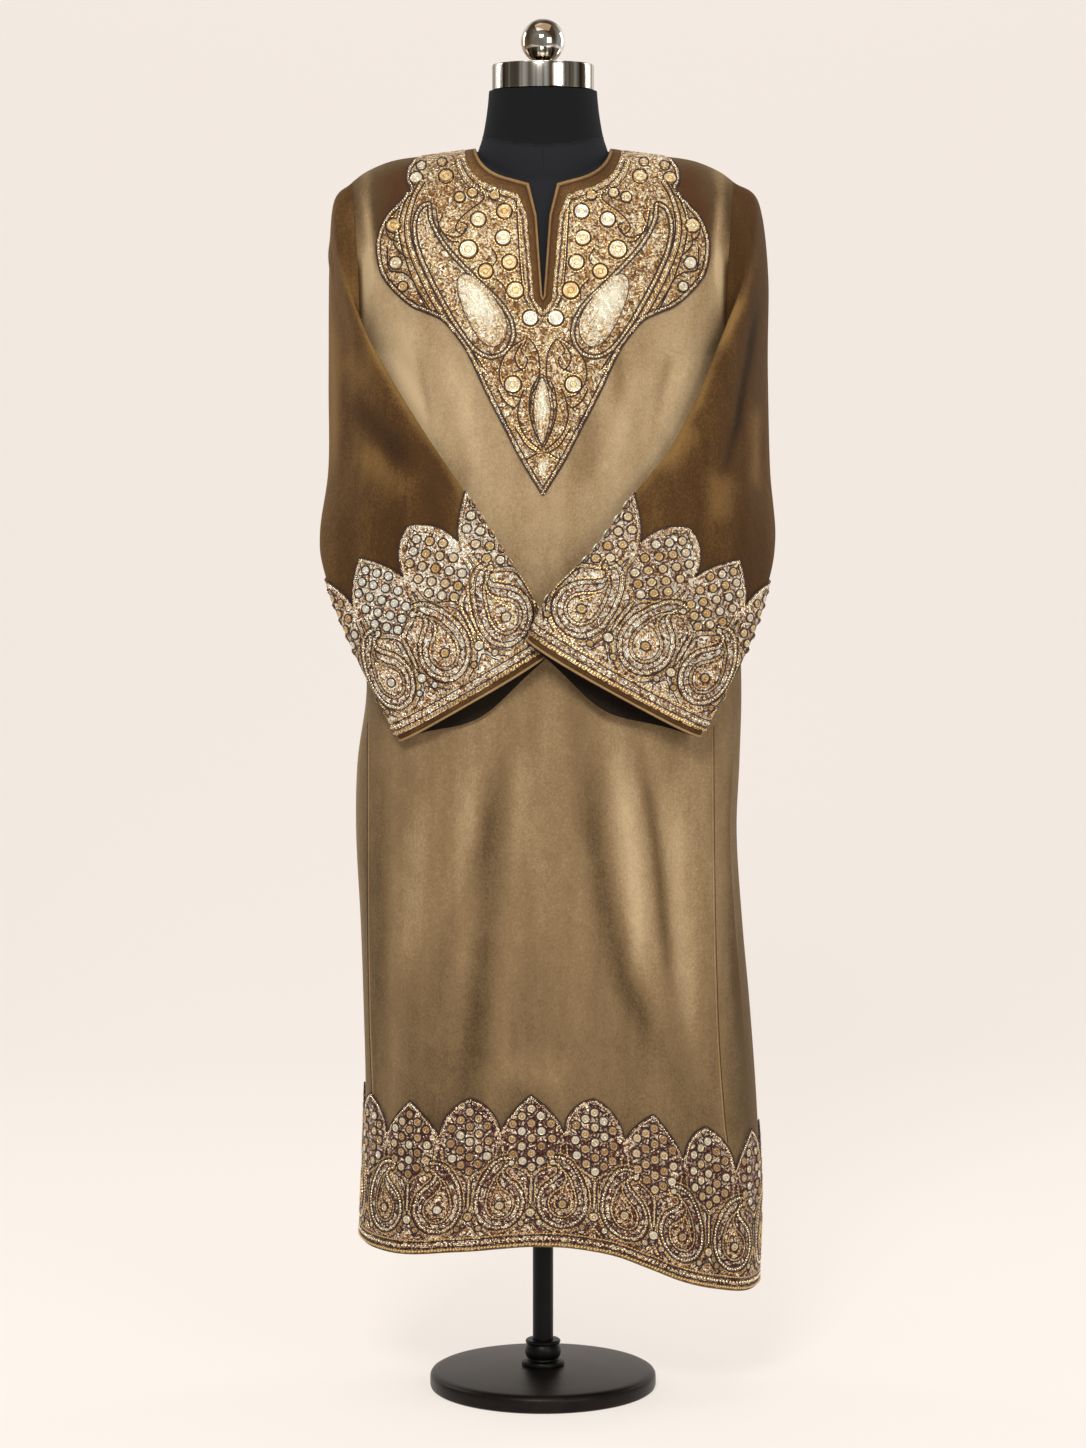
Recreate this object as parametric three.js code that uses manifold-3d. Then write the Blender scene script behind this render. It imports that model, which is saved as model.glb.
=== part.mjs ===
// A long velvet pheran with gold tilla embroidery, standing on a limbless dress form.
// Millimetres, +Z up. The front faces -Y and +X is the viewer's right.
// The origin is on the floor, under the middle of the base disc.

import * as THREE from "three";
import { mergeVertices } from "three/addons/utils/BufferGeometryUtils.js";
import Module from "manifold-3d";

const wasm = await Module();
wasm.setup();

// Driving dimensions of the cloth
const clothThickness = 2.0;
const seamGap = 0.3;
const shoulderTop = 1474;
const hemCentre = 200;
const underarmDrop = 244;
const neckHalfWidth = 79;
const bandWidth = 12;
const bodyRoundness = 2.5;

// Embroidery: how far it stands off the cloth, and how thick it is
const embroideryLift = 0.6;
const embroideryThickness = 1.4;
const bandThickness = 0.8;
const frontLeaves = 7;
const backLeaves = 11;
const cuffLeaves = 6;

// Driving dimensions of the dress form and its stand
const torsoClearance = 0.4;
const torsoBottom = 812;
const neckTop = 1535;
const capRadius = 59.5;
const capHeight = 31;
const ballRadius = 26;
const poleRadius = 12.25;
const baseRadius = 135;
const baseTop = 26;

// The garment's half widths, level by level, seen from the front
const bodyWidths = [
  { z: 122, left: 219, right: 256 },
  { z: 225, left: 216, right: 259 },
  { z: 346, left: 211, right: 254 },
  { z: 466, left: 213, right: 245 },
  { z: 562, left: 216, right: 236 },
  { z: 669, left: 221, right: 229 },
  { z: 752, left: 219, right: 232 },
  { z: 835, left: 208, right: 234 },
  { z: 912, left: 212, right: 231 },
  { z: 1010, left: 214, right: 222 },
  { z: 1160, left: 213, right: 215 },
  { z: 1230, left: 212, right: 213 },
  { z: 1252, left: 219, right: 220 },
  { z: 1272, left: 226, right: 227 },
  { z: 1312, left: 235, right: 236 },
  { z: 1372, left: 240, right: 241 },
  { z: 1436, left: 243, right: 243 },
];

// How far the cloth stands in front of and behind the shoulder line, by the drop below it
const frontDepths = [
  { drop: 0, depth: 0 },
  { drop: 6, depth: 22 },
  { drop: 18, depth: 45 },
  { drop: 36, depth: 66 },
  { drop: 54, depth: 80 },
  { drop: 100, depth: 98 },
  { drop: 160, depth: 113 },
  { drop: 240, depth: 125 },
  { drop: 400, depth: 132 },
  { drop: 700, depth: 137 },
  { drop: 1350, depth: 141 },
];
const backDepths = [
  { drop: 0, depth: 0 },
  { drop: 5, depth: 24 },
  { drop: 12, depth: 42 },
  { drop: 22, depth: 57 },
  { drop: 38, depth: 72 },
  { drop: 62, depth: 84 },
  { drop: 100, depth: 94 },
  { drop: 160, depth: 103 },
  { drop: 240, depth: 108 },
  { drop: 400, depth: 111 },
  { drop: 700, depth: 118 },
  { drop: 1350, depth: 126 },
];

// The line of the shoulder seam and the line of the hem, by the distance from the middle
const shoulderLine = [
  { x: 0, z: shoulderTop },
  { x: 87, z: 1467 },
  { x: 134, z: 1461 },
  { x: 175, z: 1455 },
  { x: 205, z: 1443 },
  { x: 222, z: 1431 },
  { x: 245, z: 1412 },
];
const frontHem = [
  { x: -220, z: 188 },
  { x: -199, z: 184 },
  { x: -167, z: 184 },
  { x: -109, z: 189 },
  { x: -51, z: 196 },
  { x: -4, z: hemCentre },
  { x: 42, z: 196 },
  { x: 89, z: 185 },
  { x: 124, z: 171 },
  { x: 159, z: 156 },
  { x: 205, z: 140 },
  { x: 240, z: 132 },
  { x: 260, z: 131 },
];
const backHem = [
  { x: -220, z: 188 },
  { x: 0, z: 190 },
  { x: 140, z: 172 },
  { x: 260, z: 131 },
];

// The armhole's distance from the middle, level by level, and the side seam's place round the body
const armholeEdge = [
  { z: 1230, x: 212 },
  { z: 1252, x: 211.5 },
  { z: 1272, x: 212 },
  { z: 1312, x: 213 },
  { z: 1372, x: 217 },
  { z: 1431, x: 222 },
];
const armholeFall = 30;
const sideSeam = [
  { drop: underarmDrop, degrees: 90 },
  { drop: 330, degrees: 84 },
  { drop: 450, degrees: 77 },
  { drop: 560, degrees: 72 },
  { drop: 1350, degrees: 70 },
];

// Long soft folds: a ridge has a positive height, a trough a negative one
const frontFolds = [
  { topX: -26, topZ: 800, bottomX: -88, bottomZ: 350, width: 24, height: -6 },
  { topX: -78, topZ: 760, bottomX: -142, bottomZ: 320, width: 24, height: 5 },
  { topX: 12, topZ: 820, bottomX: 2, bottomZ: 320, width: 28, height: 5 },
  { topX: 72, topZ: 860, bottomX: 78, bottomZ: 360, width: 18, height: -4 },
  { topX: 112, topZ: 760, bottomX: 150, bottomZ: 330, width: 20, height: 5 },
  { topX: 138, topZ: 720, bottomX: 184, bottomZ: 350, width: 16, height: -7 },
  { topX: 176, topZ: 760, bottomX: 222, bottomZ: 340, width: 16, height: 6 },
  { topX: -172, topZ: 800, bottomX: -186, bottomZ: 420, width: 14, height: -4 },
];
const backFolds = [
  { topX: -60, topZ: 1250, bottomX: -96, bottomZ: 260, width: 26, height: 7 },
  { topX: -14, topZ: 1180, bottomX: -34, bottomZ: 240, width: 22, height: -6 },
  { topX: 34, topZ: 1230, bottomX: 36, bottomZ: 240, width: 26, height: 7 },
  { topX: 84, topZ: 1160, bottomX: 108, bottomZ: 260, width: 24, height: -6 },
  { topX: 132, topZ: 1100, bottomX: 172, bottomZ: 260, width: 22, height: 6 },
  { topX: -124, topZ: 1100, bottomX: -158, bottomZ: 260, width: 20, height: -5 },
];

// Rows of the two panels, by the drop from the shoulder, down to the hem border's own rows
const upperRows = [0, 6, 16, 32, 60, 100, 150, 200, underarmDrop];
const lowerRows = [310, 420, 550, 700, 850, 980, 1094];
const borderRows = [1140, 1205, 1270];
const hemRow = shoulderTop - hemCentre;

// Heights of the leaf border's top edge above its valleys, column by column along one leaf
const frontLeafTips = [44, 28, 2, 28];
const backLeafTips = [44, 2];
const cuffLeafTips = [41, 26, 2, 26];

// One station of a sleeve: the front fold, the back fold, and how far the outer and the inner
// layer stand from the middle between the two folds
function station(front, back, outer, inner) {
  return {
    front: new THREE.Vector3(...front),
    back: new THREE.Vector3(...back),
    outer: new THREE.Vector3(...outer),
    inner: new THREE.Vector3(...inner),
  };
}

const leftSleeve = {
  side: -1,
  stations: [
    station([-228, -66, 1310], [-230, 58, 1314], [-16, 0, 92], [12, 2, -104]),
    station([-206, -82, 1258], [-236, 66, 1262], [-27, -3, 56], [0, -3, -76]),
    station([-170, -102, 1194], [-245, 56, 1177], [-26, -18, 34], [-8, -4, -48]),
    station([-130, -124, 1131], [-249, 26, 1090], [-22, -30, 8], [-12, -12, -14]),
    station([-95, -138, 1080], [-258, -20, 1020], [-22, -34, -4], [-8, -10, 4]),
    station([-50, -148, 1010], [-252, -64, 976], [-14, -34, -8], [-2, -2, 4]),
    station([-10, -152, 945], [-222, -96, 900], [-8, -32, -6], [0, 8, 0]),
    station([5, -154, 886], [-165, -114, 785], [-4, -28, -6], [4, 12, -6]),
  ],
};
const rightSleeve = {
  side: 1,
  stations: [
    station([230, -68, 1312], [238, 58, 1316], [18, 0, 92], [-14, 2, -104]),
    station([212, -82, 1262], [246, 66, 1266], [32, -3, 56], [-4, -3, -76]),
    station([184, -104, 1196], [256, 58, 1180], [28, -18, 34], [6, -4, -48]),
    station([146, -128, 1122], [262, 28, 1088], [26, -30, 8], [12, -12, -14]),
    station([106, -146, 1072], [268, -22, 1014], [24, -34, -4], [8, -10, 4]),
    station([60, -162, 1008], [258, -70, 958], [14, -34, -8], [2, -2, 4]),
    station([6, -174, 952], [232, -108, 888], [6, -30, -6], [0, 6, 0]),
    station([-18, -180, 904], [180, -138, 792], [4, -24, -8], [-2, 10, -8]),
  ],
};

// How far the sleeve is turned back from the body's own surface where it is set in
const sleeveTurn = [
  { z: 1230, degrees: 180 },
  { z: 1246, degrees: 150 },
  { z: 1272, degrees: 118 },
  { z: 1312, degrees: 70 },
  { z: 1358, degrees: 15 },
  { z: 1390, degrees: 0 },
  { z: 1431, degrees: 0 },
];
const sleeveBodyClearance = 5;
const setInHeight = 60;
const sleeveColumns = cuffLeaves * cuffLeafTips.length;
const sleeveUpperRows = [0, 0.05, 0.12, 0.21, 0.34, 0.48, 0.62, 0.75, 0.88, 1];
const sleeveUpperEnd = 258;
const cuffRows = [216, 172, 115, 60, 8, 0];

// Outline of the yoke's embroidery, from the shoulder seam down to its point
const yokeOutline = [
  [122, 1500],
  [122, 1461],
  [147, 1441],
  [153, 1417],
  [181, 1384],
  [191, 1347],
  [180, 1306],
  [152, 1281],
  [112, 1262],
  [90, 1236],
  [74, 1206],
  [48, 1156],
  [22, 1108],
  [0, 1067],
];

// The dress form's torso and neck
const torsoWidths = [
  { z: torsoBottom, left: 164, right: 164 },
  { z: 880, left: 172, right: 172 },
  { z: 960, left: 168, right: 168 },
  { z: 1050, left: 142, right: 142 },
  { z: 1140, left: 119, right: 119 },
  { z: 1230, left: 148, right: 148 },
  { z: 1310, left: 166, right: 166 },
  { z: 1390, left: 182, right: 182 },
  { z: 1480, left: 190, right: 190 },
];
const torsoFront = [
  { drop: 0, depth: 0 },
  { drop: 6, depth: 17 },
  { drop: 18, depth: 39 },
  { drop: 36, depth: 60 },
  { drop: 54, depth: 73 },
  { drop: 100, depth: 90 },
  { drop: 160, depth: 107 },
  { drop: 205, depth: 113 },
  { drop: 270, depth: 98 },
  { drop: 340, depth: 84 },
  { drop: 450, depth: 98 },
  { drop: 560, depth: 108 },
  { drop: 670, depth: 102 },
];
const torsoBack = [
  { drop: 0, depth: 0 },
  { drop: 5, depth: 19 },
  { drop: 12, depth: 36 },
  { drop: 22, depth: 51 },
  { drop: 38, depth: 66 },
  { drop: 62, depth: 77 },
  { drop: 120, depth: 88 },
  { drop: 220, depth: 88 },
  { drop: 340, depth: 74 },
  { drop: 450, depth: 92 },
  { drop: 560, depth: 104 },
  { drop: 670, depth: 98 },
];
const torsoRows = [0, 6, 14, 28, 50, 80, 130, 190, 250, 310, 370, 450, 550];
const torsoColumns = 28;
const torsoRoundness = 2.3;
const neckRings = [
  { z: 1425, across: 83, front: 66, back: 53 },
  { z: 1455, across: 79, front: 64, back: 53 },
  { z: 1468, across: 75, front: 62, back: 53 },
  { z: 1482, across: 70.5, front: 60.5, back: 54 },
  { z: 1500, across: 67, front: 60.5, back: 56 },
  { z: 1518, across: 64.5, front: 61.5, back: 58 },
  { z: neckTop, across: 63, front: 62.5, back: 61 },
];

// Materials
function material(color, roughness, metalness) {
  return new THREE.MeshStandardMaterial({ color, roughness, metalness, side: THREE.DoubleSide });
}

const velvet = material(0x8b7c57, 0.85, 0);
const sleeveVelvet = material(0x5c4628, 0.85, 0);
const tilla = material(0xc49a55, 0.45, 0.6);
const formCloth = material(0x17181b, 0.9, 0);
const polishedSteel = material(0xb9b7b2, 0.2, 1);
const darkMetal = material(0x2a2320, 0.4, 0.7);

// A smooth value between the rows of a table, read at one column by another
function lookup(table, key, at, value) {
  const last = table.length - 1;
  if (at <= table[0][key]) return table[0][value];
  if (at >= table[last][key]) return table[last][value];
  let i = 0;
  while (table[i + 1][key] < at) i += 1;
  const slope = (k) => {
    const before = table[Math.max(k - 1, 0)];
    const after = table[Math.min(k + 1, last)];
    return (after[value] - before[value]) / (after[key] - before[key]);
  };
  const span = table[i + 1][key] - table[i][key];
  const t = (at - table[i][key]) / span;
  const start = table[i][value] * (2 * t ** 3 - 3 * t ** 2 + 1);
  const end = table[i + 1][value] * (3 * t ** 2 - 2 * t ** 3);
  const leaving = slope(i) * span * (t ** 3 - 2 * t ** 2 + t);
  const arriving = slope(i + 1) * span * (t ** 3 - t ** 2);
  return start + end + leaving + arriving;
}

function signedPower(value, power) {
  return Math.sign(value) * Math.abs(value) ** power;
}

function fade(from, to, at) {
  return THREE.MathUtils.smoothstep(at, from, to);
}

function foldHeight(folds, x, z) {
  let height = 0;
  for (const fold of folds) {
    const down = (fold.topZ - z) / (fold.topZ - fold.bottomZ);
    const middle = fold.topX + (fold.bottomX - fold.topX) * down;
    const reach = fade(-0.25, 0.35, down) * (1 - 0.3 * fade(1, 1.6, down));
    height += fold.height * reach * Math.exp(-(((x - middle) / fold.width) ** 2));
  }
  return height;
}

// The height of a row at one x: it follows the shoulder at the top and the hem at the bottom
function rowHeight(drop, x, hem) {
  const shoulder = lookup(shoulderLine, "x", Math.abs(x), "z") - shoulderTop;
  const fromShoulder = shoulder * (1 - fade(40, 235, drop));
  const fromHem = hem ? (lookup(hem, "x", x, "z") - hemCentre) * fade(620, hemRow, drop) : 0;
  return shoulderTop - drop + fromShoulder + fromHem;
}

// A point of the garment's outer surface. The angle is 0 at the centre front and grows to +X.
function bodyPoint(angle, drop) {
  const across = signedPower(Math.sin(angle), 2 / bodyRoundness);
  const ahead = signedPower(Math.cos(angle), 2 / bodyRoundness);
  const side = across < 0 ? "left" : "right";
  const hem = ahead > 0 ? frontHem : backHem;
  const levelX = across * lookup(bodyWidths, "z", shoulderTop - drop, side);
  const z = rowHeight(drop, levelX, hem);
  const x = across * lookup(bodyWidths, "z", z, side);
  const below = lookup(shoulderLine, "x", Math.abs(x), "z") - z;
  const depth = lookup(ahead > 0 ? frontDepths : backDepths, "drop", below, "depth");
  const fold = foldHeight(ahead > 0 ? frontFolds : backFolds, x, z);
  return new THREE.Vector3(x, -ahead * (depth + fold), z);
}

function bodyNormal(angle, drop) {
  const turn = 0.01;
  const step = 0.4;
  const round = bodyPoint(angle + turn, drop).sub(bodyPoint(angle - turn, drop));
  const down = bodyPoint(angle, drop + step).sub(bodyPoint(angle, Math.max(drop - step, 0)));
  const normal = down.cross(round);
  if (drop === 0) normal.y = 0;
  return normal.normalize();
}

// Angle at which a panel ends on one side: the armhole above the underarm, the side seam below
function edgeAngle(side, drop) {
  if (drop >= underarmDrop) {
    return THREE.MathUtils.degToRad(lookup(sideSeam, "drop", drop, "degrees"));
  }
  const armholeX = lookup(armholeEdge, "z", shoulderTop - drop - armholeFall, "x");
  const z = rowHeight(drop, armholeX, null);
  const name = side < 0 ? "left" : "right";
  const ratio = lookup(armholeEdge, "z", z, "x") / lookup(bodyWidths, "z", z, name);
  return Math.asin(Math.min(ratio, 1) ** (bodyRoundness / 2));
}

// Angles that divide one row of the body evenly between two ends
function evenAngles(drop, from, to, count) {
  const samples = 240;
  const lengths = [0];
  let before = bodyPoint(from, drop);
  for (let i = 1; i <= samples; i += 1) {
    const point = bodyPoint(from + ((to - from) * i) / samples, drop);
    lengths.push(lengths[i - 1] + point.distanceTo(before));
    before = point;
  }
  const angles = [];
  let i = 0;
  for (let k = 0; k <= count; k += 1) {
    const wanted = (lengths[samples] * k) / count;
    while (i < samples - 1 && lengths[i + 1] < wanted) i += 1;
    const part = (wanted - lengths[i]) / (lengths[i + 1] - lengths[i]);
    angles.push(from + ((to - from) * (i + part)) / samples);
  }
  return angles;
}

// A panel's grid: rows from the shoulder to the hem, each with its outer points and normals
function panelGrid(face, columns) {
  const drops = [...upperRows, ...lowerRows, ...borderRows, hemRow];
  return drops.map((drop) => {
    const angles = panelEnds(face, drop);
    const row = evenAngles(drop, angles[0], angles[1], columns).map((angle) => ({
      point: bodyPoint(angle, drop),
      normal: bodyNormal(angle, drop),
    }));
    if (drop === 0) {
      for (const vertex of row) vertex.point.y = (face === "front" ? -seamGap : seamGap) / 2;
    }
    if (drop >= underarmDrop) {
      drawBack(row[0], row[1]);
      drawBack(row[columns], row[columns - 1]);
    }
    return row;
  });
}

// Leaves half of the side seam's gap at the end of a row
function drawBack(end, neighbour) {
  const along = neighbour.point.clone().sub(end.point).normalize();
  end.point.addScaledVector(along, seamGap / 2);
}

function panelEnds(face, drop) {
  const left = edgeAngle(-1, drop);
  const right = edgeAngle(1, drop);
  if (face === "front") return [-left, right];
  if (drop < underarmDrop) return [Math.PI - right, Math.PI + left];
  return [right, 2 * Math.PI - left];
}

function moved(vertex, distance) {
  return vertex.point.clone().addScaledVector(vertex.normal, distance);
}

// A closed wall between two layers of one grid, open sheet or tube
function wall(grid, outerLift, innerLift, isTube) {
  const rows = grid.length;
  const columns = grid[0].length;
  const positions = [];
  for (const lift of [outerLift, innerLift]) {
    for (const row of grid) {
      for (const vertex of row) positions.push(...moved(vertex, lift).toArray());
    }
  }
  const faces = [];
  const at = (layer, row, column) => (layer * rows + row) * columns + (column % columns);
  const quad = (a, b, c, d) => faces.push(a, b, c, a, c, d);
  const spans = isTube ? columns : columns - 1;
  for (let r = 0; r < rows - 1; r += 1) {
    for (let c = 0; c < spans; c += 1) {
      quad(at(0, r, c), at(0, r + 1, c), at(0, r + 1, c + 1), at(0, r, c + 1));
      quad(at(1, r, c), at(1, r, c + 1), at(1, r + 1, c + 1), at(1, r + 1, c));
    }
  }
  for (let c = 0; c < spans; c += 1) {
    quad(at(0, 0, c), at(0, 0, c + 1), at(1, 0, c + 1), at(1, 0, c));
    quad(at(0, rows - 1, c + 1), at(0, rows - 1, c), at(1, rows - 1, c), at(1, rows - 1, c + 1));
  }
  for (let r = 0; r < rows - 1 && !isTube; r += 1) {
    quad(at(0, r + 1, 0), at(0, r, 0), at(1, r, 0), at(1, r + 1, 0));
    quad(at(0, r, spans), at(0, r + 1, spans), at(1, r + 1, spans), at(1, r, spans));
  }
  return closedGeometry(positions, faces);
}

function closedGeometry(positions, faces) {
  const geometry = new THREE.BufferGeometry();
  geometry.setAttribute("position", new THREE.Float32BufferAttribute(positions, 3));
  geometry.setIndex(signedVolume(positions, faces) < 0 ? flipped(faces) : faces);
  return geometry;
}

function signedVolume(positions, faces) {
  const corner = (i) => new THREE.Vector3(...positions.slice(3 * i, 3 * i + 3));
  let volume = 0;
  for (let i = 0; i < faces.length; i += 3) {
    const [a, b, c] = [corner(faces[i]), corner(faces[i + 1]), corner(faces[i + 2])];
    volume += a.dot(b.cross(c)) / 6;
  }
  return volume;
}

function flipped(faces) {
  const turned = [];
  for (let i = 0; i < faces.length; i += 3) turned.push(faces[i], faces[i + 2], faces[i + 1]);
  return turned;
}

// Between a geometry and a solid that can be joined and cut
function solid(geometry) {
  const bare = geometry.clone();
  bare.deleteAttribute("normal");
  bare.deleteAttribute("uv");
  const merged = mergeVertices(bare, 1e-3);
  return new wasm.Manifold(
    new wasm.Mesh({
      numProp: 3,
      vertProperties: new Float32Array(merged.attributes.position.array),
      triVerts: new Uint32Array(merged.index.array),
    }),
  );
}

function geometryOf(joined) {
  const mesh = joined.getMesh();
  const geometry = new THREE.BufferGeometry();
  geometry.setAttribute("position", new THREE.Float32BufferAttribute(mesh.vertProperties, 3));
  geometry.setIndex([...mesh.triVerts]);
  return geometry;
}

// A prism along Y with an outline seen from the front
function prism(shape, fromY, toY) {
  const geometry = new THREE.ExtrudeGeometry(shape, {
    depth: toY - fromY,
    bevelEnabled: false,
    curveSegments: 8,
  });
  geometry.rotateX(Math.PI / 2);
  geometry.translate(0, toY, 0);
  return solid(geometry);
}

// The neck opening seen from the front, with the slit, grown by the width of a band
function frontNeckShape(grow) {
  const shape = new THREE.Shape();
  const half = neckHalfWidth + grow;
  const slitTop = 1423 - grow;
  const slitHalf = 17 + grow * 0.9;
  shape.moveTo(-half, shoulderTop + 60);
  shape.lineTo(-half, 1467);
  shape.quadraticCurveTo(-half + 4, 1440 - grow, -42 - grow * 0.6, 1430 - grow);
  shape.lineTo(-slitHalf, slitTop);
  shape.lineTo(-8 - grow * 0.85, 1386);
  shape.lineTo(-1.5 - grow * 0.7, 1295 - grow * 0.5);
  shape.lineTo(0, 1291 - grow * 1.1);
  shape.lineTo(1.5 + grow * 0.7, 1295 - grow * 0.5);
  shape.lineTo(8 + grow * 0.85, 1386);
  shape.lineTo(slitHalf, slitTop);
  shape.lineTo(42 + grow * 0.6, 1430 - grow);
  shape.quadraticCurveTo(half - 4, 1440 - grow, half, 1467);
  shape.lineTo(half, shoulderTop + 60);
  shape.closePath();
  return shape;
}

function backNeckShape(grow) {
  const shape = new THREE.Shape();
  const half = neckHalfWidth + grow;
  shape.moveTo(-half, shoulderTop + 60);
  shape.lineTo(-half, 1465);
  shape.quadraticCurveTo(-half + 6, 1450 - grow, -34, 1447 - grow);
  shape.lineTo(34, 1447 - grow);
  shape.quadraticCurveTo(half - 6, 1450 - grow, half, 1465);
  shape.lineTo(half, shoulderTop + 60);
  shape.closePath();
  return shape;
}

function yokeShape() {
  const shape = new THREE.Shape();
  shape.moveTo(...yokeOutline[0]);
  for (const [x, z] of yokeOutline.slice(1)) shape.lineTo(x, z);
  for (const [x, z] of yokeOutline.slice(0, -1).reverse()) shape.lineTo(-x, z);
  shape.closePath();
  return shape;
}

// Sleeves

// The armhole's edge as the panels have it, from the underarm over the front to the shoulder
// tip and down the back, with the panel's normal at each point
function armholeLoop(side, frontGrid, backGrid) {
  const last = upperRows.length - 1;
  const frontColumn = side < 0 ? 0 : frontGrid[0].length - 1;
  const backColumn = side < 0 ? backGrid[0].length - 1 : 0;
  const front = upperRows.map((_, r) => frontGrid[last - r][frontColumn]);
  const back = upperRows.map((_, r) => backGrid[r][backColumn]);
  return { front, back };
}

// The vertex at a part of the way along a chain of vertices
function alongChain(chain, part) {
  const lengths = [0];
  for (let i = 1; i < chain.length; i += 1) {
    lengths.push(lengths[i - 1] + chain[i].point.distanceTo(chain[i - 1].point));
  }
  const wanted = part * lengths[chain.length - 1];
  let i = 0;
  while (i < chain.length - 2 && lengths[i + 1] < wanted) i += 1;
  const within = (wanted - lengths[i]) / (lengths[i + 1] - lengths[i]);
  return {
    point: chain[i].point.clone().lerp(chain[i + 1].point, within),
    normal: chain[i].normal.clone().lerp(chain[i + 1].normal, within).normalize(),
    direction: chain[i + 1].point.clone().sub(chain[i].point).normalize(),
  };
}

// First ring of a sleeve, just off the armhole's edge and turned back towards the underarm
function setInVertex(sleeve, fraction) {
  const chain = fraction <= 0.5 ? sleeve.loop.front : sleeve.loop.back;
  const edge = alongChain(chain, fraction <= 0.5 ? fraction * 2 : fraction * 2 - 1);
  const away = edge.direction.clone().cross(edge.normal).normalize().multiplyScalar(sleeve.side);
  const turn = THREE.MathUtils.degToRad(lookup(sleeveTurn, "z", edge.point.z, "degrees"));
  const normal = edge.normal
    .clone()
    .multiplyScalar(Math.cos(turn))
    .addScaledVector(away, -Math.sin(turn))
    .normalize();
  const point = edge.point
    .clone()
    .addScaledVector(away, seamGap)
    .addScaledVector(edge.normal, Math.max(0, -Math.cos(turn)) * (seamGap + 0.2));
  return { point, normal };
}

// Even steps along a quarter of an ellipse with the two half axes as vectors
function quarterPoint(from, to, part) {
  const samples = 24;
  const place = (i) => {
    const turn = (i / samples) * (Math.PI / 2);
    return from.clone().multiplyScalar(Math.cos(turn)).addScaledVector(to, Math.sin(turn));
  };
  const lengths = [0];
  for (let i = 1; i <= samples; i += 1) {
    lengths.push(lengths[i - 1] + place(i).distanceTo(place(i - 1)));
  }
  const wanted = part * lengths[samples];
  let i = 0;
  while (i < samples - 1 && lengths[i + 1] < wanted) i += 1;
  return place(i + (wanted - lengths[i]) / (lengths[i + 1] - lengths[i]));
}

// A point of one station: fraction 0 is the line next to the body, 0.25 the front fold,
// 0.5 the outer line and 0.75 the back fold
function stationPoint(place, fraction) {
  const middle = place.front.clone().add(place.back).multiplyScalar(0.5);
  const front = place.front.clone().sub(middle);
  const back = place.back.clone().sub(middle);
  const corners = [place.inner, front, place.outer, back, place.inner];
  const quarter = Math.min(Math.floor(fraction * 4), 3);
  const part = fraction * 4 - quarter;
  return quarterPoint(corners[quarter], corners[quarter + 1], part).add(middle);
}

// Keeps a point of a sleeve clear of the body that it hangs beside or lies on
function clearOfBody(point, strength) {
  const side = point.x < 0 ? "left" : "right";
  const width = lookup(bodyWidths, "z", point.z, side);
  const below = lookup(shoulderLine, "x", Math.abs(point.x), "z") - point.z;
  const isFront = point.y < 0;
  if (below < setInHeight) return point;
  const fold = foldHeight(isFront ? frontFolds : backFolds, point.x, point.z);
  const depth = lookup(isFront ? frontDepths : backDepths, "drop", below, "depth") + fold;
  const across = (Math.abs(point.x) / width) ** bodyRoundness;
  const ahead = (Math.abs(point.y) / depth) ** bodyRoundness;
  const reach = (across + ahead) ** (1 / bodyRoundness);
  const wanted = 1 + sleeveBodyClearance / depth;
  if (reach >= wanted) return point;
  const grow = THREE.MathUtils.lerp(1, wanted / reach, strength);
  point.x *= grow;
  point.y *= grow;
  return point;
}

// A point of a sleeve's outer surface. The station is 0 at the armhole and last at the cuff.
function sleevePoint(sleeve, fraction, place) {
  const turned = fraction - Math.floor(fraction);
  const last = sleeve.stations.length;
  const ring = (k) => {
    if (k < 0) return ring(0).multiplyScalar(2).sub(ring(1));
    if (k > last) return ring(last).multiplyScalar(2).sub(ring(last - 1));
    if (k === 0) return setInVertex(sleeve, turned).point;
    return stationPoint(sleeve.stations[k - 1], turned);
  };
  const k = Math.min(Math.floor(place), last - 1);
  const t = place - k;
  const [a, b, c, d] = [ring(k - 1), ring(k), ring(k + 1), ring(k + 2)];
  const point = b.clone().multiplyScalar(1 - 2.5 * t ** 2 + 1.5 * t ** 3);
  point.addScaledVector(a, -0.5 * t + t ** 2 - 0.5 * t ** 3);
  point.addScaledVector(c, 0.5 * t + 2 * t ** 2 - 1.5 * t ** 3);
  point.addScaledVector(d, -0.5 * t ** 2 + 0.5 * t ** 3);
  return clearOfBody(point, fade(0.02, 0.5, place));
}

function sleeveNormal(sleeve, fraction, place) {
  if (place === 0) return setInVertex(sleeve, fraction).normal;
  const last = sleeve.stations.length;
  const step = 0.01;
  const round = sleevePoint(sleeve, fraction + step, place);
  round.sub(sleevePoint(sleeve, fraction - step + 1, place));
  const down = sleevePoint(sleeve, fraction, Math.min(place + step, last));
  down.sub(sleevePoint(sleeve, fraction, place - step));
  return round.cross(down).multiplyScalar(sleeve.side).normalize();
}

// The station at a distance up from the cuff's edge, along one line of the sleeve
function stationAbove(sleeve, fraction, distance) {
  const step = 0.05;
  let place = sleeve.stations.length;
  let point = sleevePoint(sleeve, fraction, place);
  let walked = 0;
  while (walked < distance) {
    const next = sleevePoint(sleeve, fraction, place - step);
    const length = next.distanceTo(point);
    if (walked + length > distance) return place - (step * (distance - walked)) / length;
    walked += length;
    place -= step;
    point = next;
  }
  return place;
}

function sleeveVertex(sleeve, fraction, place) {
  return {
    point: sleevePoint(sleeve, fraction, place),
    normal: sleeveNormal(sleeve, fraction, place),
  };
}

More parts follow.
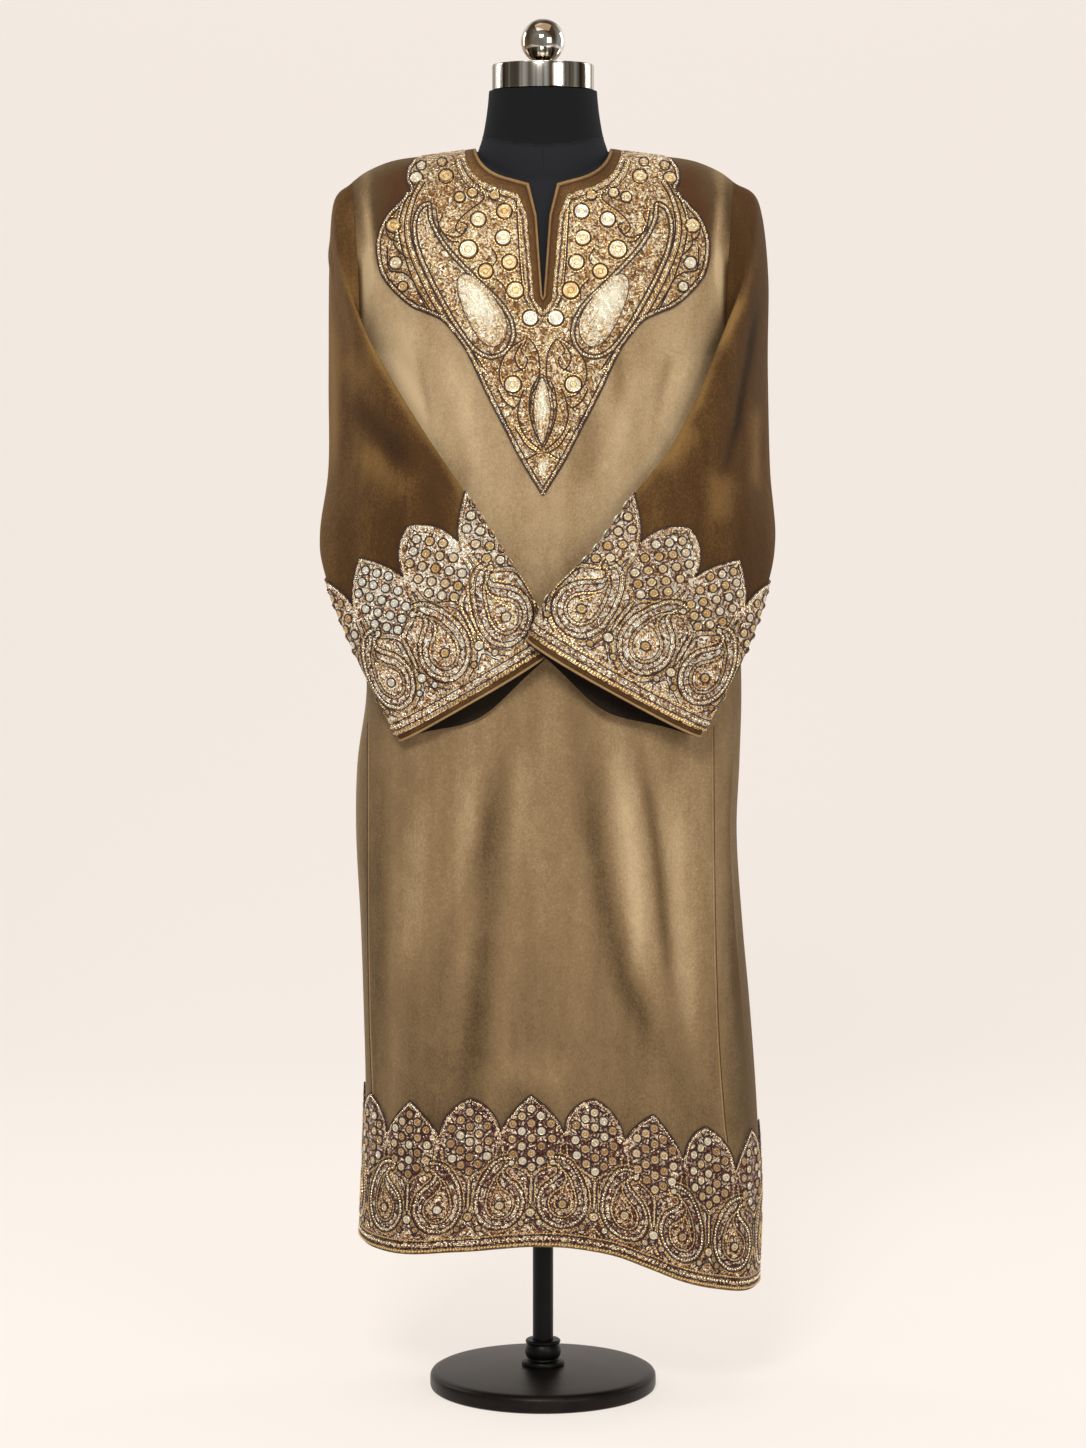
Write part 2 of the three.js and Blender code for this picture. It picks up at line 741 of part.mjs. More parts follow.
function sleeveGrid(sleeve) {
  const fractions = Array.from({ length: sleeveColumns }, (_, c) => c / sleeveColumns);
  const ends = fractions.map((fraction) => stationAbove(sleeve, fraction, sleeveUpperEnd));
  const upper = sleeveUpperRows.map((part) =>
    fractions.map((fraction, c) => sleeveVertex(sleeve, fraction, part * ends[c])),
  );
  const lower = cuffRows.map((distance) =>
    fractions.map((fraction) =>
      sleeveVertex(sleeve, fraction, stationAbove(sleeve, fraction, distance)),
    ),
  );
  return [...upper, ...lower];
}

// A vertex part of the way from one vertex to another
function between(from, to, part) {
  return {
    point: from.point.clone().lerp(to.point, part),
    normal: from.normal.clone().lerp(to.normal, part).normalize(),
  };
}

// A leafy top row inside the band of cloth between two rows of a grid
function leafRow(valleyRow, upperRow, bandHeight, tips) {
  return valleyRow.map((vertex, c) =>
    between(vertex, upperRow[c], tips[c % tips.length] / bandHeight),
  );
}

function hemBorder(grid, tips) {
  const first = upperRows.length + lowerRows.length;
  const bandHeight = borderRows[0] - lowerRows[lowerRows.length - 1];
  const leaves = leafRow(grid[first], grid[first - 1], bandHeight, tips);
  const rows = [leaves, ...grid.slice(first, first + borderRows.length)];
  return wall(rows, embroideryLift + embroideryThickness, embroideryLift, false);
}

// A leaf tip stands on each of the cuff's two folds
function cuffEmbroidery(grid) {
  const first = grid.length - cuffRows.length;
  const bandHeight = cuffRows[0] - cuffRows[1];
  const foldColumn = (sleeveColumns / 4) % cuffLeafTips.length;
  const tips = [...cuffLeafTips.slice(-foldColumn), ...cuffLeafTips.slice(0, -foldColumn)];
  const leaves = leafRow(grid[first + 1], grid[first], bandHeight, tips);
  const rows = [leaves, ...grid.slice(first + 1, grid.length - 1)];
  return wall(rows, embroideryLift + embroideryThickness, embroideryLift, true);
}

// The dress form
function torsoPoint(angle, drop) {
  const across = signedPower(Math.sin(angle), 2 / torsoRoundness);
  const ahead = signedPower(Math.cos(angle), 2 / torsoRoundness);
  const under = clothThickness + torsoClearance;
  const levelX = across * lookup(torsoWidths, "z", shoulderTop - drop, "right");
  const z = rowHeight(drop, levelX, null) - under;
  const x = across * lookup(torsoWidths, "z", z, "right");
  const table = ahead > 0 ? torsoFront : torsoBack;
  return new THREE.Vector3(x, -ahead * lookup(table, "drop", drop, "depth"), z);
}

// A closed body through rings of equal count. Each ring in flatEnds is closed by a flat fan.
function loft(rings, flatEnds) {
  const count = rings[0].length;
  const positions = rings.flat().flatMap((point) => point.toArray());
  const faces = [];
  for (let r = 0; r < rings.length - 1; r += 1) {
    for (let c = 0; c < count; c += 1) {
      const [a, b] = [r * count + c, r * count + ((c + 1) % count)];
      faces.push(a, a + count, b + count, a, b + count, b);
    }
  }
  for (const r of flatEnds) {
    const middle = new THREE.Vector3();
    for (const point of rings[r]) middle.addScaledVector(point, 1 / count);
    const hub = positions.length / 3;
    positions.push(...middle.toArray());
    for (let c = 0; c < count; c += 1) {
      const pair = [r * count + c, r * count + ((c + 1) % count)];
      faces.push(hub, ...(r === 0 ? pair : pair.reverse()));
    }
  }
  return closedGeometry(positions, faces);
}

function neckRing(ring) {
  return Array.from({ length: torsoColumns }, (_, c) => {
    const angle = (c / torsoColumns) * 2 * Math.PI;
    const depth = Math.cos(angle) > 0 ? ring.front : ring.back;
    return new THREE.Vector3(ring.across * Math.sin(angle), -depth * Math.cos(angle), ring.z);
  });
}

// The torso's front and back meet in the ridge of the shoulders, so it has no top face
function torsoGeometry() {
  const rows = [...torsoRows, shoulderTop - torsoBottom - clothThickness - torsoClearance];
  const rings = rows.map((drop) =>
    Array.from({ length: torsoColumns }, (_, c) =>
      torsoPoint((c / torsoColumns) * 2 * Math.PI, drop),
    ),
  );
  return loft(rings, [rings.length - 1]);
}

function lathe(profile, segments) {
  const points = profile.map(([r, z]) => new THREE.Vector2(r, z));
  const geometry = new THREE.LatheGeometry(points, segments);
  geometry.rotateX(Math.PI / 2);
  return geometry;
}

function finialGeometry(seat) {
  const stemRadius = 9;
  const stemHeight = 1;
  const centre = seat + ballRadius + stemHeight;
  const start = Math.asin(stemRadius / ballRadius);
  const profile = [[0, seat], [stemRadius, seat]];
  const steps = 10;
  for (let i = 0; i < steps; i += 1) {
    const turn = start + ((Math.PI - start) * i) / steps;
    profile.push([ballRadius * Math.sin(turn), centre - ballRadius * Math.cos(turn)]);
  }
  profile.push([0, centre + ballRadius]);
  return lathe(profile, 22);
}

// Everything is put together here
const group = new THREE.Group();

function addPiece(name, geometry, look) {
  const mesh = new THREE.Mesh(geometry, look.clone());
  mesh.name = name;
  group.add(mesh);
}

function addGarment() {
  const frontGrid = panelGrid("front", frontLeaves * frontLeafTips.length);
  const backGrid = panelGrid("back", backLeaves * backLeafTips.length);
  const frontPrism = (shape) => prism(shape, -260, 1);
  const backPrism = (shape) => prism(shape, -1, 260);
  const upperFront = frontGrid.slice(0, upperRows.length + 3);
  const upperBack = backGrid.slice(0, upperRows.length - 3);
  const frontNeck = frontPrism(frontNeckShape(0));
  const backNeck = backPrism(backNeckShape(0));

  const front = solid(wall(frontGrid, 0, -clothThickness, false)).subtract(frontNeck);
  const back = solid(wall(backGrid, 0, -clothThickness, false)).subtract(backNeck);
  addPiece("front_panel", geometryOf(front), velvet);
  addPiece("back_panel", geometryOf(back), velvet);

  const bandTop = embroideryLift + bandThickness;
  const frontBand = solid(wall(upperFront, bandTop, embroideryLift, false))
    .intersect(frontPrism(frontNeckShape(bandWidth)))
    .subtract(frontNeck);
  const backBand = solid(wall(upperBack, bandTop, embroideryLift, false))
    .intersect(backPrism(backNeckShape(bandWidth)))
    .subtract(backNeck);
  addPiece("neck_band_front", geometryOf(frontBand), velvet);
  addPiece("neck_band_back", geometryOf(backBand), velvet);

  const yokeTop = embroideryLift + embroideryThickness;
  const yoke = solid(wall(upperFront, yokeTop, embroideryLift, false))
    .intersect(frontPrism(yokeShape()))
    .subtract(frontPrism(frontNeckShape(bandWidth + seamGap)));
  addPiece("yoke_embroidery", geometryOf(yoke), tilla);
  addPiece("hem_border_front", hemBorder(frontGrid, frontLeafTips), tilla);
  addPiece("hem_border_back", hemBorder(backGrid, backLeafTips), tilla);

  for (const [name, sleeve] of [["left", leftSleeve], ["right", rightSleeve]]) {
    sleeve.loop = armholeLoop(sleeve.side, frontGrid, backGrid);
    const grid = sleeveGrid(sleeve);
    addPiece(`sleeve_${name}`, wall(grid, 0, -clothThickness, true), sleeveVelvet);
    addPiece(`cuff_embroidery_${name}`, cuffEmbroidery(grid), tilla);
  }
}

function addForm() {
  const neck = solid(loft(neckRings.map(neckRing), [0, neckRings.length - 1]));
  addPiece("form_torso", geometryOf(solid(torsoGeometry()).add(neck)), formCloth);
  const capTop = neckTop + capHeight;
  const cap = lathe(
    [
      [0, neckTop],
      [capRadius - 1.5, neckTop],
      [capRadius, neckTop + 1.5],
      [capRadius, capTop - 2],
      [capRadius - 2, capTop],
      [0, capTop],
    ],
    40,
  );
  addPiece("neck_cap", cap, polishedSteel);
  addPiece("finial_ball", finialGeometry(capTop), polishedSteel);
}

function addStand() {
  const pole = lathe(
    [
      [0, baseTop],
      [poleRadius, baseTop],
      [poleRadius, torsoBottom],
      [0, torsoBottom],
    ],
    24,
  );
  addPiece("pole", pole, darkMetal);
  const bore = poleRadius + seamGap;
  const collar = lathe(
    [
      [bore, baseTop],
      [25.5, baseTop],
      [25.5, baseTop + 7],
      [22, baseTop + 9],
      [22, baseTop + 29],
      [20, baseTop + 31],
      [bore, baseTop + 31],
      [bore, baseTop],
    ],
    32,
  );
  addPiece("pole_collar", collar, darkMetal);
  const base = lathe(
    [
      [0, 0],
      [baseRadius - 3, 0],
      [baseRadius, 3],
      [baseRadius, 15],
      [baseRadius - 5, 20],
      [34, baseTop],
      [0, baseTop],
    ],
    48,
  );
  addPiece("base_disc", base, darkMetal);
}

addGarment();
addForm();
addStand();

export default group;
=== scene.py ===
import bpy
import math
import numpy as np
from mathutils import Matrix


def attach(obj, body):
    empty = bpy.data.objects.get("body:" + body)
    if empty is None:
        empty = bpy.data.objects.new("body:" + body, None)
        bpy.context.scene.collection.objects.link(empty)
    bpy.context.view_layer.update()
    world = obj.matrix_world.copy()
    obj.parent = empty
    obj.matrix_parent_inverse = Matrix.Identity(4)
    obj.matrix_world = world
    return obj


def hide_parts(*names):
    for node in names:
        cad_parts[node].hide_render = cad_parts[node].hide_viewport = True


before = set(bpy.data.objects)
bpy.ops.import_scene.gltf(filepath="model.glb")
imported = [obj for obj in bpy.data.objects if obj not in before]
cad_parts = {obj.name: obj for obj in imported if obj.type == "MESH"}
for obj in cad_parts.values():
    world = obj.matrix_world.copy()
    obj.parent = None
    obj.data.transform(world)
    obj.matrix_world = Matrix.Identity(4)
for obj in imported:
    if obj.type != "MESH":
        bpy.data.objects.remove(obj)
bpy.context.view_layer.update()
bpy.ops.object.select_all(action="DESELECT")
print("frame loaded:", len(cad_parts), "nodes")

# Everything about the garment is measured in mm, and turned into metres when a mesh is made
mm = 0.001

garment = {
    "shoulderTop": 1474,
    "hemCentre": 200,
    "hemRow": 1274,
    "underarmDrop": 244,
    "roundness": 2.5,
    "thickness": 1.8,
    "seamGap": 0.3,
    "neckHalfWidth": 79,
    "armholeFall": 30,
    "fineSteps": 241,
    "widthLeft": [(122, 219), (225, 216), (346, 211), (466, 213), (562, 216), (669, 221), (752, 219),
                  (835, 208), (912, 212), (1010, 214), (1160, 213), (1230, 212), (1252, 219),
                  (1272, 226), (1312, 235), (1372, 240), (1436, 243)],
    "widthRight": [(122, 256), (225, 259), (346, 254), (466, 245), (562, 236), (669, 229), (752, 232),
                   (835, 234), (912, 231), (1010, 222), (1160, 215), (1230, 213), (1252, 220),
                   (1272, 227), (1312, 236), (1372, 241), (1436, 243)],
    "frontDepths": [(0, 0), (6, 22), (18, 45), (36, 66), (54, 80), (100, 98), (160, 113), (240, 125),
                    (400, 132), (700, 137), (1350, 141)],
    "backDepths": [(0, 0), (5, 24), (12, 42), (22, 57), (38, 72), (62, 84), (100, 94), (160, 103),
                   (240, 108), (400, 111), (700, 118), (1350, 126)],
    "shoulderLine": [(0, 1474), (87, 1467), (134, 1461), (175, 1455), (205, 1443), (222, 1431),
                     (245, 1412)],
    "frontHem": [(-220, 188), (-199, 184), (-167, 184), (-109, 189), (-51, 196), (-4, 200), (42, 196),
                 (89, 185), (124, 171), (159, 156), (205, 140), (240, 132), (260, 131)],
    "backHem": [(-220, 188), (0, 190), (140, 172), (260, 131)],
    "armholeEdge": [(1230, 212), (1252, 211.5), (1272, 212), (1312, 213), (1372, 217), (1431, 222)],
    "sideSeam": [(244, 90), (330, 84), (450, 77), (560, 72), (1350, 70)],
}

# Long soft folds of the panels: top x, top z, bottom x, bottom z, width, height
frontFolds = [
    (-26, 800, -88, 350, 24, -6), (-78, 760, -142, 320, 24, 5), (12, 820, 2, 320, 28, 5),
    (72, 860, 78, 360, 18, -4), (112, 760, 150, 330, 20, 5), (138, 720, 184, 350, 16, -7),
    (176, 760, 222, 340, 16, 6), (-172, 800, -186, 420, 14, -4),
]
backFolds = [
    (-60, 1250, -96, 260, 26, 7), (-14, 1180, -34, 240, 22, -6), (34, 1230, 36, 240, 26, 7),
    (84, 1160, 108, 260, 24, -6), (132, 1100, 172, 260, 22, 6), (-124, 1100, -158, 260, 20, -5),
]

# Smaller creases: a line as seen from the front, then the width and height of the soft trough or ridge
frontCreases = [
    ([(-205, 1250), (-168, 1200), (-120, 1130)], 9, 2.2),
    ([(-192, 1262), (-150, 1205), (-108, 1130)], 7, -2.0),
    ([(-146, 1235), (-128, 1160), (-92, 1080)], 8, 1.6),
    ([(-96, 1190), (-80, 1110), (-40, 1010)], 10, 1.4),
    ([(-30, 1090), (-22, 1040), (-10, 980)], 8, -1.2),
    ([(196, 1255), (160, 1190), (120, 1120)], 9, 2.0),
    ([(186, 1270), (140, 1195), (96, 1110)], 7, -1.8),
    ([(104, 1210), (84, 1130), (50, 1050)], 9, 1.5),
    ([(-205, 1390), (-196, 1345), (-198, 1300)], 7, 1.8),
    ([(206, 1395), (199, 1350), (203, 1305)], 7, 1.8),
    ([(30, 850), (60, 780), (80, 640)], 7, -1.4),
    ([(78, 860), (98, 760), (128, 600), (150, 480)], 8, -1.8),
    ([(-150, 800), (-140, 700), (-156, 560)], 9, 1.6),
    ([(-60, 880), (-52, 760), (-72, 620)], 10, -1.5),
    ([(196, 800), (202, 640), (232, 420)], 7, -2.4),
    ([(212, 700), (226, 520), (250, 360)], 6, 1.8),
]
backCreases = [
    ([(-190, 1260), (-140, 1200), (-90, 1110)], 10, 2.0),
    ([(186, 1262), (140, 1190), (96, 1080)], 10, 2.0),
    ([(-120, 1330), (0, 1300), (120, 1332)], 14, -1.4),
    ([(-60, 880), (-50, 720), (-70, 560)], 10, -1.4),
    ([(150, 900), (162, 700), (190, 480)], 9, -1.8),
    ([(-170, 900), (-176, 700), (-190, 480)], 9, 1.6),
]


def lookup(table, at):  # a smooth value between the rows of a table
    places = np.array([row[0] for row in table], float)
    values = np.array([row[1] for row in table], float)
    at = np.clip(np.asarray(at, float), places[0], places[-1])
    i = np.clip(np.searchsorted(places, at) - 1, 0, len(places) - 2)
    order = np.arange(len(places))
    after, before = np.minimum(order + 1, len(places) - 1), np.maximum(order - 1, 0)
    slopes = (values[after] - values[before]) / (places[after] - places[before])
    span = places[i + 1] - places[i]
    t = (at - places[i]) / span
    ends = values[i] * (2 * t**3 - 3 * t**2 + 1) + values[i + 1] * (3 * t**2 - 2 * t**3)
    return ends + span * (slopes[i] * (t**3 - 2 * t**2 + t) + slopes[i + 1] * (t**3 - t**2))


def signedPower(value, power):
    return np.sign(value) * np.abs(value) ** power


def fade(start, end, at):
    t = np.clip((at - start) / (end - start), 0, 1)
    return t * t * (3 - 2 * t)


def unit(vectors):
    return vectors / np.maximum(np.linalg.norm(vectors, axis=-1, keepdims=True), 1e-9)


def lengthsAlong(points):  # how far along its line each point is
    steps = np.linalg.norm(np.diff(points, axis=0), axis=-1)
    return np.concatenate([np.zeros((1,) + steps.shape[1:]), np.cumsum(steps, axis=0)])


def readAlong(lengths, rows, wanted):  # the values of a line's rows at any lengths along it
    return np.stack([np.interp(wanted, lengths, column) for column in rows.T], -1)


def circle(x, y, radius, count):
    turns = np.linspace(0, 2 * math.pi, count, endpoint=False)
    return np.stack([x + radius * np.cos(turns), y + radius * np.sin(turns)], 1)


def foldHeight(folds, x, z):
    height = np.zeros(np.broadcast(x, z).shape)
    for topX, topZ, bottomX, bottomZ, width, rise in folds:
        down = (topZ - z) / (topZ - bottomZ)
        middle = topX + (bottomX - topX) * down
        reach = fade(-0.25, 0.35, down) * (1 - 0.3 * fade(1, 1.6, down))
        height = height + rise * reach * np.exp(-(((x - middle) / width) ** 2))
    return height


def creaseHeight(creases, x, z):
    height = np.zeros(np.broadcast(x, z).shape)
    for line, width, rise in creases:
        line = np.array(line, float)
        starts = lengthsAlong(line)
        nearest = np.full(height.shape, 1e9)
        along = np.zeros(height.shape)
        for i, length in enumerate(np.linalg.norm(np.diff(line, axis=0), axis=1)):
            dx, dz = (line[i + 1] - line[i]) / length
            t = np.clip((x - line[i][0]) * dx + (z - line[i][1]) * dz, 0, length)
            distance = np.hypot(x - line[i][0] - t * dx, z - line[i][1] - t * dz)
            closer = distance < nearest
            nearest = np.where(closer, distance, nearest)
            along = np.where(closer, (starts[i] + t) / starts[-1], along)
        ends = fade(-0.05, 0.3, along) * (1 - fade(0.65, 1.05, along))
        height = height + rise * ends * np.exp(-((nearest / width) ** 2))
    return height


def bodyWidth(z, isLeft):
    return np.where(isLeft, lookup(garment["widthLeft"], z), lookup(garment["widthRight"], z))


def rowHeight(drop, x, isFront, withHem=True):
    shoulder = lookup(garment["shoulderLine"], np.abs(x)) - garment["shoulderTop"]
    height = garment["shoulderTop"] - drop + shoulder * (1 - fade(40, 235, drop))
    if withHem:
        hem = np.where(isFront, lookup(garment["frontHem"], x), lookup(garment["backHem"], x))
        height = height + (hem - garment["hemCentre"]) * fade(620, garment["hemRow"], drop)
    return height


def bodyDepth(x, z, isFront):
    below = lookup(garment["shoulderLine"], np.abs(x)) - z
    front = lookup(garment["frontDepths"], below) + foldHeight(frontFolds, x, z)
    back = lookup(garment["backDepths"], below) + foldHeight(backFolds, x, z)
    front = front + creaseHeight(frontCreases, x, z) * fade(20, 60, below)
    back = back + creaseHeight(backCreases, x, z) * fade(20, 60, below)
    return np.where(isFront, front, back)


def bodyPoint(angle, drop):  # the garment's outer surface, with the angle 0 at the centre front
    across = signedPower(np.sin(angle), 2 / garment["roundness"])
    ahead = signedPower(np.cos(angle), 2 / garment["roundness"])
    isLeft, isFront = across < 0, ahead > 0
    levelX = across * bodyWidth(garment["shoulderTop"] - drop, isLeft)
    z = rowHeight(drop, levelX, isFront)
    x = across * bodyWidth(z, isLeft)
    return np.stack([x, -ahead * bodyDepth(x, z, isFront), z], -1)


def bodyNormal(angle, drop):
    around = bodyPoint(angle + 0.01, drop) - bodyPoint(angle - 0.01, drop)
    down = bodyPoint(angle, drop + 0.4) - bodyPoint(angle, np.maximum(drop - 0.4, 0))
    normal = np.cross(down, around)
    normal[..., 1] = np.where(np.asarray(drop) == 0, 0, normal[..., 1])
    return unit(normal)


def edgeAngle(side, drop):  # a panel ends at the armhole, and below the underarm at the side seam
    drop = np.asarray(drop, float)
    seam = np.radians(lookup(garment["sideSeam"], drop))
    edgeX = lookup(garment["armholeEdge"], garment["shoulderTop"] - drop - garment["armholeFall"])
    z = rowHeight(drop, edgeX, True, withHem=False)
    ratio = lookup(garment["armholeEdge"], z) / bodyWidth(z, side < 0)
    armhole = np.arcsin(np.minimum(ratio, 1) ** (garment["roundness"] / 2))
    return np.where(drop >= garment["underarmDrop"], seam, armhole)


def panelRow(face, drop, parts):  # angles at parts of the way along one row of a panel
    left, right = float(edgeAngle(-1, drop)), float(edgeAngle(1, drop))
    ends = (-left, right)
    if face == "back":
        ends = (right, 2 * math.pi - left)
        if drop < garment["underarmDrop"]:
            ends = (math.pi - right, math.pi + left)
    turns = np.linspace(ends[0], ends[1], garment["fineSteps"])
    points = bodyPoint(turns, np.full(len(turns), float(drop)))
    lengths = lengthsAlong(points)
    return np.interp(np.asarray(parts) * lengths[-1], lengths, turns)


def panelGrid(face, drops, parts):
    angles = np.array([panelRow(face, drop, parts) for drop in drops])
    levels = np.repeat(np.asarray(drops, float)[:, None], len(parts), axis=1)
    points, normals = bodyPoint(angles, levels), bodyNormal(angles, levels)
    away = -1 if face == "front" else 1
    points[:, :, 1] = np.where(levels == 0, away * garment["seamGap"] / 2, points[:, :, 1])
    return points, normals


def levelPoint(x, z, isFront):
    line = lookup(garment["shoulderLine"], np.abs(x))
    level = np.minimum(z, line - 0.25)
    across = np.minimum(np.abs(x) / bodyWidth(level, x < 0), 0.999)
    ahead = (1 - across ** garment["roundness"]) ** (1 / garment["roundness"])
    facing = -1 if isFront else 1
    return np.stack([x, facing * ahead * bodyDepth(x, level, isFront), level], -1)


def panelPoint(x, z, isFront=True):  # a panel's surface and normal at a place seen from the front
    x, z = np.asarray(x, float), np.asarray(z, float)
    around = levelPoint(x + 0.5, z, isFront) - levelPoint(x - 0.5, z, isFront)
    down = levelPoint(x, z - 0.5, isFront) - levelPoint(x, z + 0.5, isFront)
    return levelPoint(x, z, isFront), unit(np.cross(down, around)) * (1 if isFront else -1)


print("garment surfaces ready")

# The sleeves: rings of front fold, back fold, and the outer and inner line's place from their middle
sleeves = {
    "left": {
        "side": -1,
        "stations": [
            [(-228, -66, 1310), (-230, 58, 1314), (-16, 0, 92), (12, 2, -104)],
            [(-206, -82, 1258), (-236, 66, 1262), (-27, -3, 56), (0, -3, -76)],
            [(-170, -102, 1194), (-245, 56, 1177), (-26, -18, 34), (-8, -4, -48)],
            [(-130, -124, 1131), (-249, 26, 1090), (-22, -30, 8), (-12, -12, -14)],
            [(-95, -138, 1080), (-258, -20, 1020), (-22, -34, -4), (-8, -10, 4)],
            [(-50, -148, 1010), (-252, -64, 976), (-14, -34, -8), (-2, -2, 4)],
            [(-10, -152, 945), (-222, -96, 900), (-8, -32, -6), (0, 8, 0)],
            [(5, -154, 886), (-165, -114, 785), (-4, -28, -6), (4, 12, -6)],
        ],
        "creases": [
            ([(-218, 1236), (-196, 1170), (-170, 1110)], 8, -3.0),
            ([(-234, 1335), (-222, 1282), (-206, 1236)], 9, 2.6),
            ([(-246, 1300), (-238, 1200), (-236, 1100), (-240, 1020)], 9, 2.4),
            ([(-226, 1190), (-150, 1110), (-74, 1052)], 12, -3.0),
            ([(-238, 1120), (-180, 1050), (-120, 1010)], 12, 2.2),
            ([(-250, 1060), (-225, 1020), (-214, 970)], 9, -2.2),
        ],
    },
    "right": {
        "side": 1,
        "stations": [
            [(230, -68, 1312), (238, 58, 1316), (18, 0, 92), (-14, 2, -104)],
            [(212, -82, 1262), (246, 66, 1266), (32, -3, 56), (-4, -3, -76)],
            [(184, -104, 1196), (256, 58, 1180), (28, -18, 34), (6, -4, -48)],
            [(146, -128, 1122), (262, 28, 1088), (26, -30, 8), (12, -12, -14)],
            [(106, -146, 1072), (268, -22, 1014), (24, -34, -4), (8, -10, 4)],
            [(60, -162, 1008), (258, -70, 958), (14, -34, -8), (2, -2, 4)],
            [(6, -174, 952), (232, -108, 888), (6, -30, -6), (0, 6, 0)],
            [(-18, -180, 904), (180, -138, 792), (4, -24, -8), (-2, 10, -8)],
        ],
        "creases": [
            ([(252, 1300), (240, 1240), (224, 1150), (204, 1080)], 7, -3.6),
            ([(236, 1330), (206, 1260), (184, 1200)], 9, 2.4),
            ([(178, 1145), (140, 1100), (112, 1084)], 12, -2.6),
            ([(250, 1160), (236, 1080), (232, 1000)], 8, 2.4),
            ([(258, 1230), (254, 1120), (258, 1030)], 7, -2.0),
        ],
    },
}
sleeveTurn = [(1230, 180), (1246, 150), (1272, 118), (1312, 70), (1358, 15), (1390, 0), (1431, 0)]
sleeveFit = {"bodyClearance": 5, "setInHeight": 60, "cuffLength": 258, "thickness": 1.2,
             "innerFall": 20, "innerReach": 45, "innerWidth": 0.13}  # the cuff hangs lower next to the body


def armholeChain(side, face):  # the armhole's edge, from the underarm over the front and back down
    drops = np.linspace(garment["underarmDrop"] - 0.01, 0, 60)
    turns = edgeAngle(side, drops) * side
    if face == "back":
        drops, turns = drops[::-1], (math.pi - turns)[::-1]
    points, normals = bodyPoint(turns, drops), bodyNormal(turns, drops)
    return points, normals, unit(np.gradient(points, axis=0))


def alongChain(chain, part):
    lengths = lengthsAlong(chain[0])
    point, normal, direction = [readAlong(lengths, rows, part * lengths[-1]) for rows in chain]
    return point, unit(normal), unit(direction)


def setInRing(sleeve, fraction):  # first ring of a sleeve, just off the armhole
    front = alongChain(sleeve["front"], np.clip(fraction * 2, 0, 1))
    back = alongChain(sleeve["back"], np.clip(fraction * 2 - 1, 0, 1))
    isFront = (fraction <= 0.5)[..., None]
    point, normal, direction = [np.where(isFront, a, b) for a, b in zip(front, back)]
    away = unit(np.cross(direction, normal)) * sleeve["side"]
    turn = np.radians(lookup(sleeveTurn, point[..., 2]))[..., None]
    turned = unit(normal * np.cos(turn) - away * np.sin(turn))
    gap = garment["seamGap"]
    return point + away * gap + normal * np.maximum(0, -np.cos(turn)) * (gap + 0.2), turned


def stationRing(station, fraction):  # even steps round a station's four quarters
    front, back, outer, inner = [np.array(v, float) for v in station]
    middle = (front + back) / 2
    corners = [inner, front - middle, outer, back - middle, inner]
    ring = np.zeros(fraction.shape + (3,))
    steps = np.linspace(0, math.pi / 2, 25)
    for quarter in range(4):
        start, end = corners[quarter], corners[quarter + 1]
        arc = np.cos(steps)[:, None] * start + np.sin(steps)[:, None] * end
        lengths = lengthsAlong(arc)
        part = np.clip(fraction * 4 - quarter, 0, 1)
        turn = np.interp(part * lengths[-1], lengths, steps)[..., None]
        inside = (np.minimum(np.floor(fraction * 4), 3) == quarter)[..., None]
        ring = np.where(inside, np.cos(turn) * start + np.sin(turn) * end, ring)
    return ring + middle


def clearOfBody(point, strength):  # keeps the sleeve off the body that it hangs beside
    x, y, z = point[..., 0], point[..., 1], point[..., 2]
    below = lookup(garment["shoulderLine"], np.abs(x)) - z
    depth = np.maximum(bodyDepth(x, z, y < 0), 1)
    roundness = garment["roundness"]
    reach = ((np.abs(x) / bodyWidth(z, x < 0)) ** roundness + (np.abs(y) / depth) ** roundness)
    reach = np.maximum(reach ** (1 / roundness), 1e-6)
    wanted = 1 + sleeveFit["bodyClearance"] / depth
    grow = np.where(reach < wanted, 1 + (wanted / reach - 1) * strength, 1)
    start = sleeveFit["setInHeight"]
    grow = 1 + (grow - 1) * fade(start - 15, start + 20, below)
    return np.stack([x * grow, y * grow, z], -1)


def sleevePoint(sleeve, fraction, place):  # fraction 0 is next to the body, 0.25 the front fold
    fraction, place = np.broadcast_arrays(np.asarray(fraction, float), np.asarray(place, float))
    turned = fraction - np.floor(fraction)
    last = len(sleeve["stations"])
    rings = [setInRing(sleeve, turned)[0]]
    rings += [stationRing(station, turned) for station in sleeve["stations"]]
    rings = np.array([2 * rings[0] - rings[1], *rings, 2 * rings[last] - rings[last - 1]])
    k = np.minimum(np.floor(place), last - 1).astype(int)
    t = (place - k)[..., None]
    a, b, c, d = [np.take_along_axis(rings, (k + i)[None, ..., None], 0)[0] for i in range(4)]
    point = b * (1 - 2.5 * t**2 + 1.5 * t**3) + a * (-0.5 * t + t**2 - 0.5 * t**3)
    point = point + c * (0.5 * t + 2 * t**2 - 1.5 * t**3) + d * (-0.5 * t**2 + 0.5 * t**3)
    return clearOfBody(point, fade(0.02, 0.5, place))


def sleeveNormal(sleeve, fraction, place):
    last = len(sleeve["stations"])
    around = sleevePoint(sleeve, fraction + 0.01, place) - sleevePoint(sleeve, fraction - 0.01, place)
    down = sleevePoint(sleeve, fraction, np.minimum(place + 0.01, last))
    down = down - sleevePoint(sleeve, fraction, place - 0.01)
    normal = unit(np.cross(down, around) * sleeve["side"])
    turned = fraction - np.floor(fraction)
    return np.where((place <= 0)[..., None], setInRing(sleeve, turned)[1], normal)


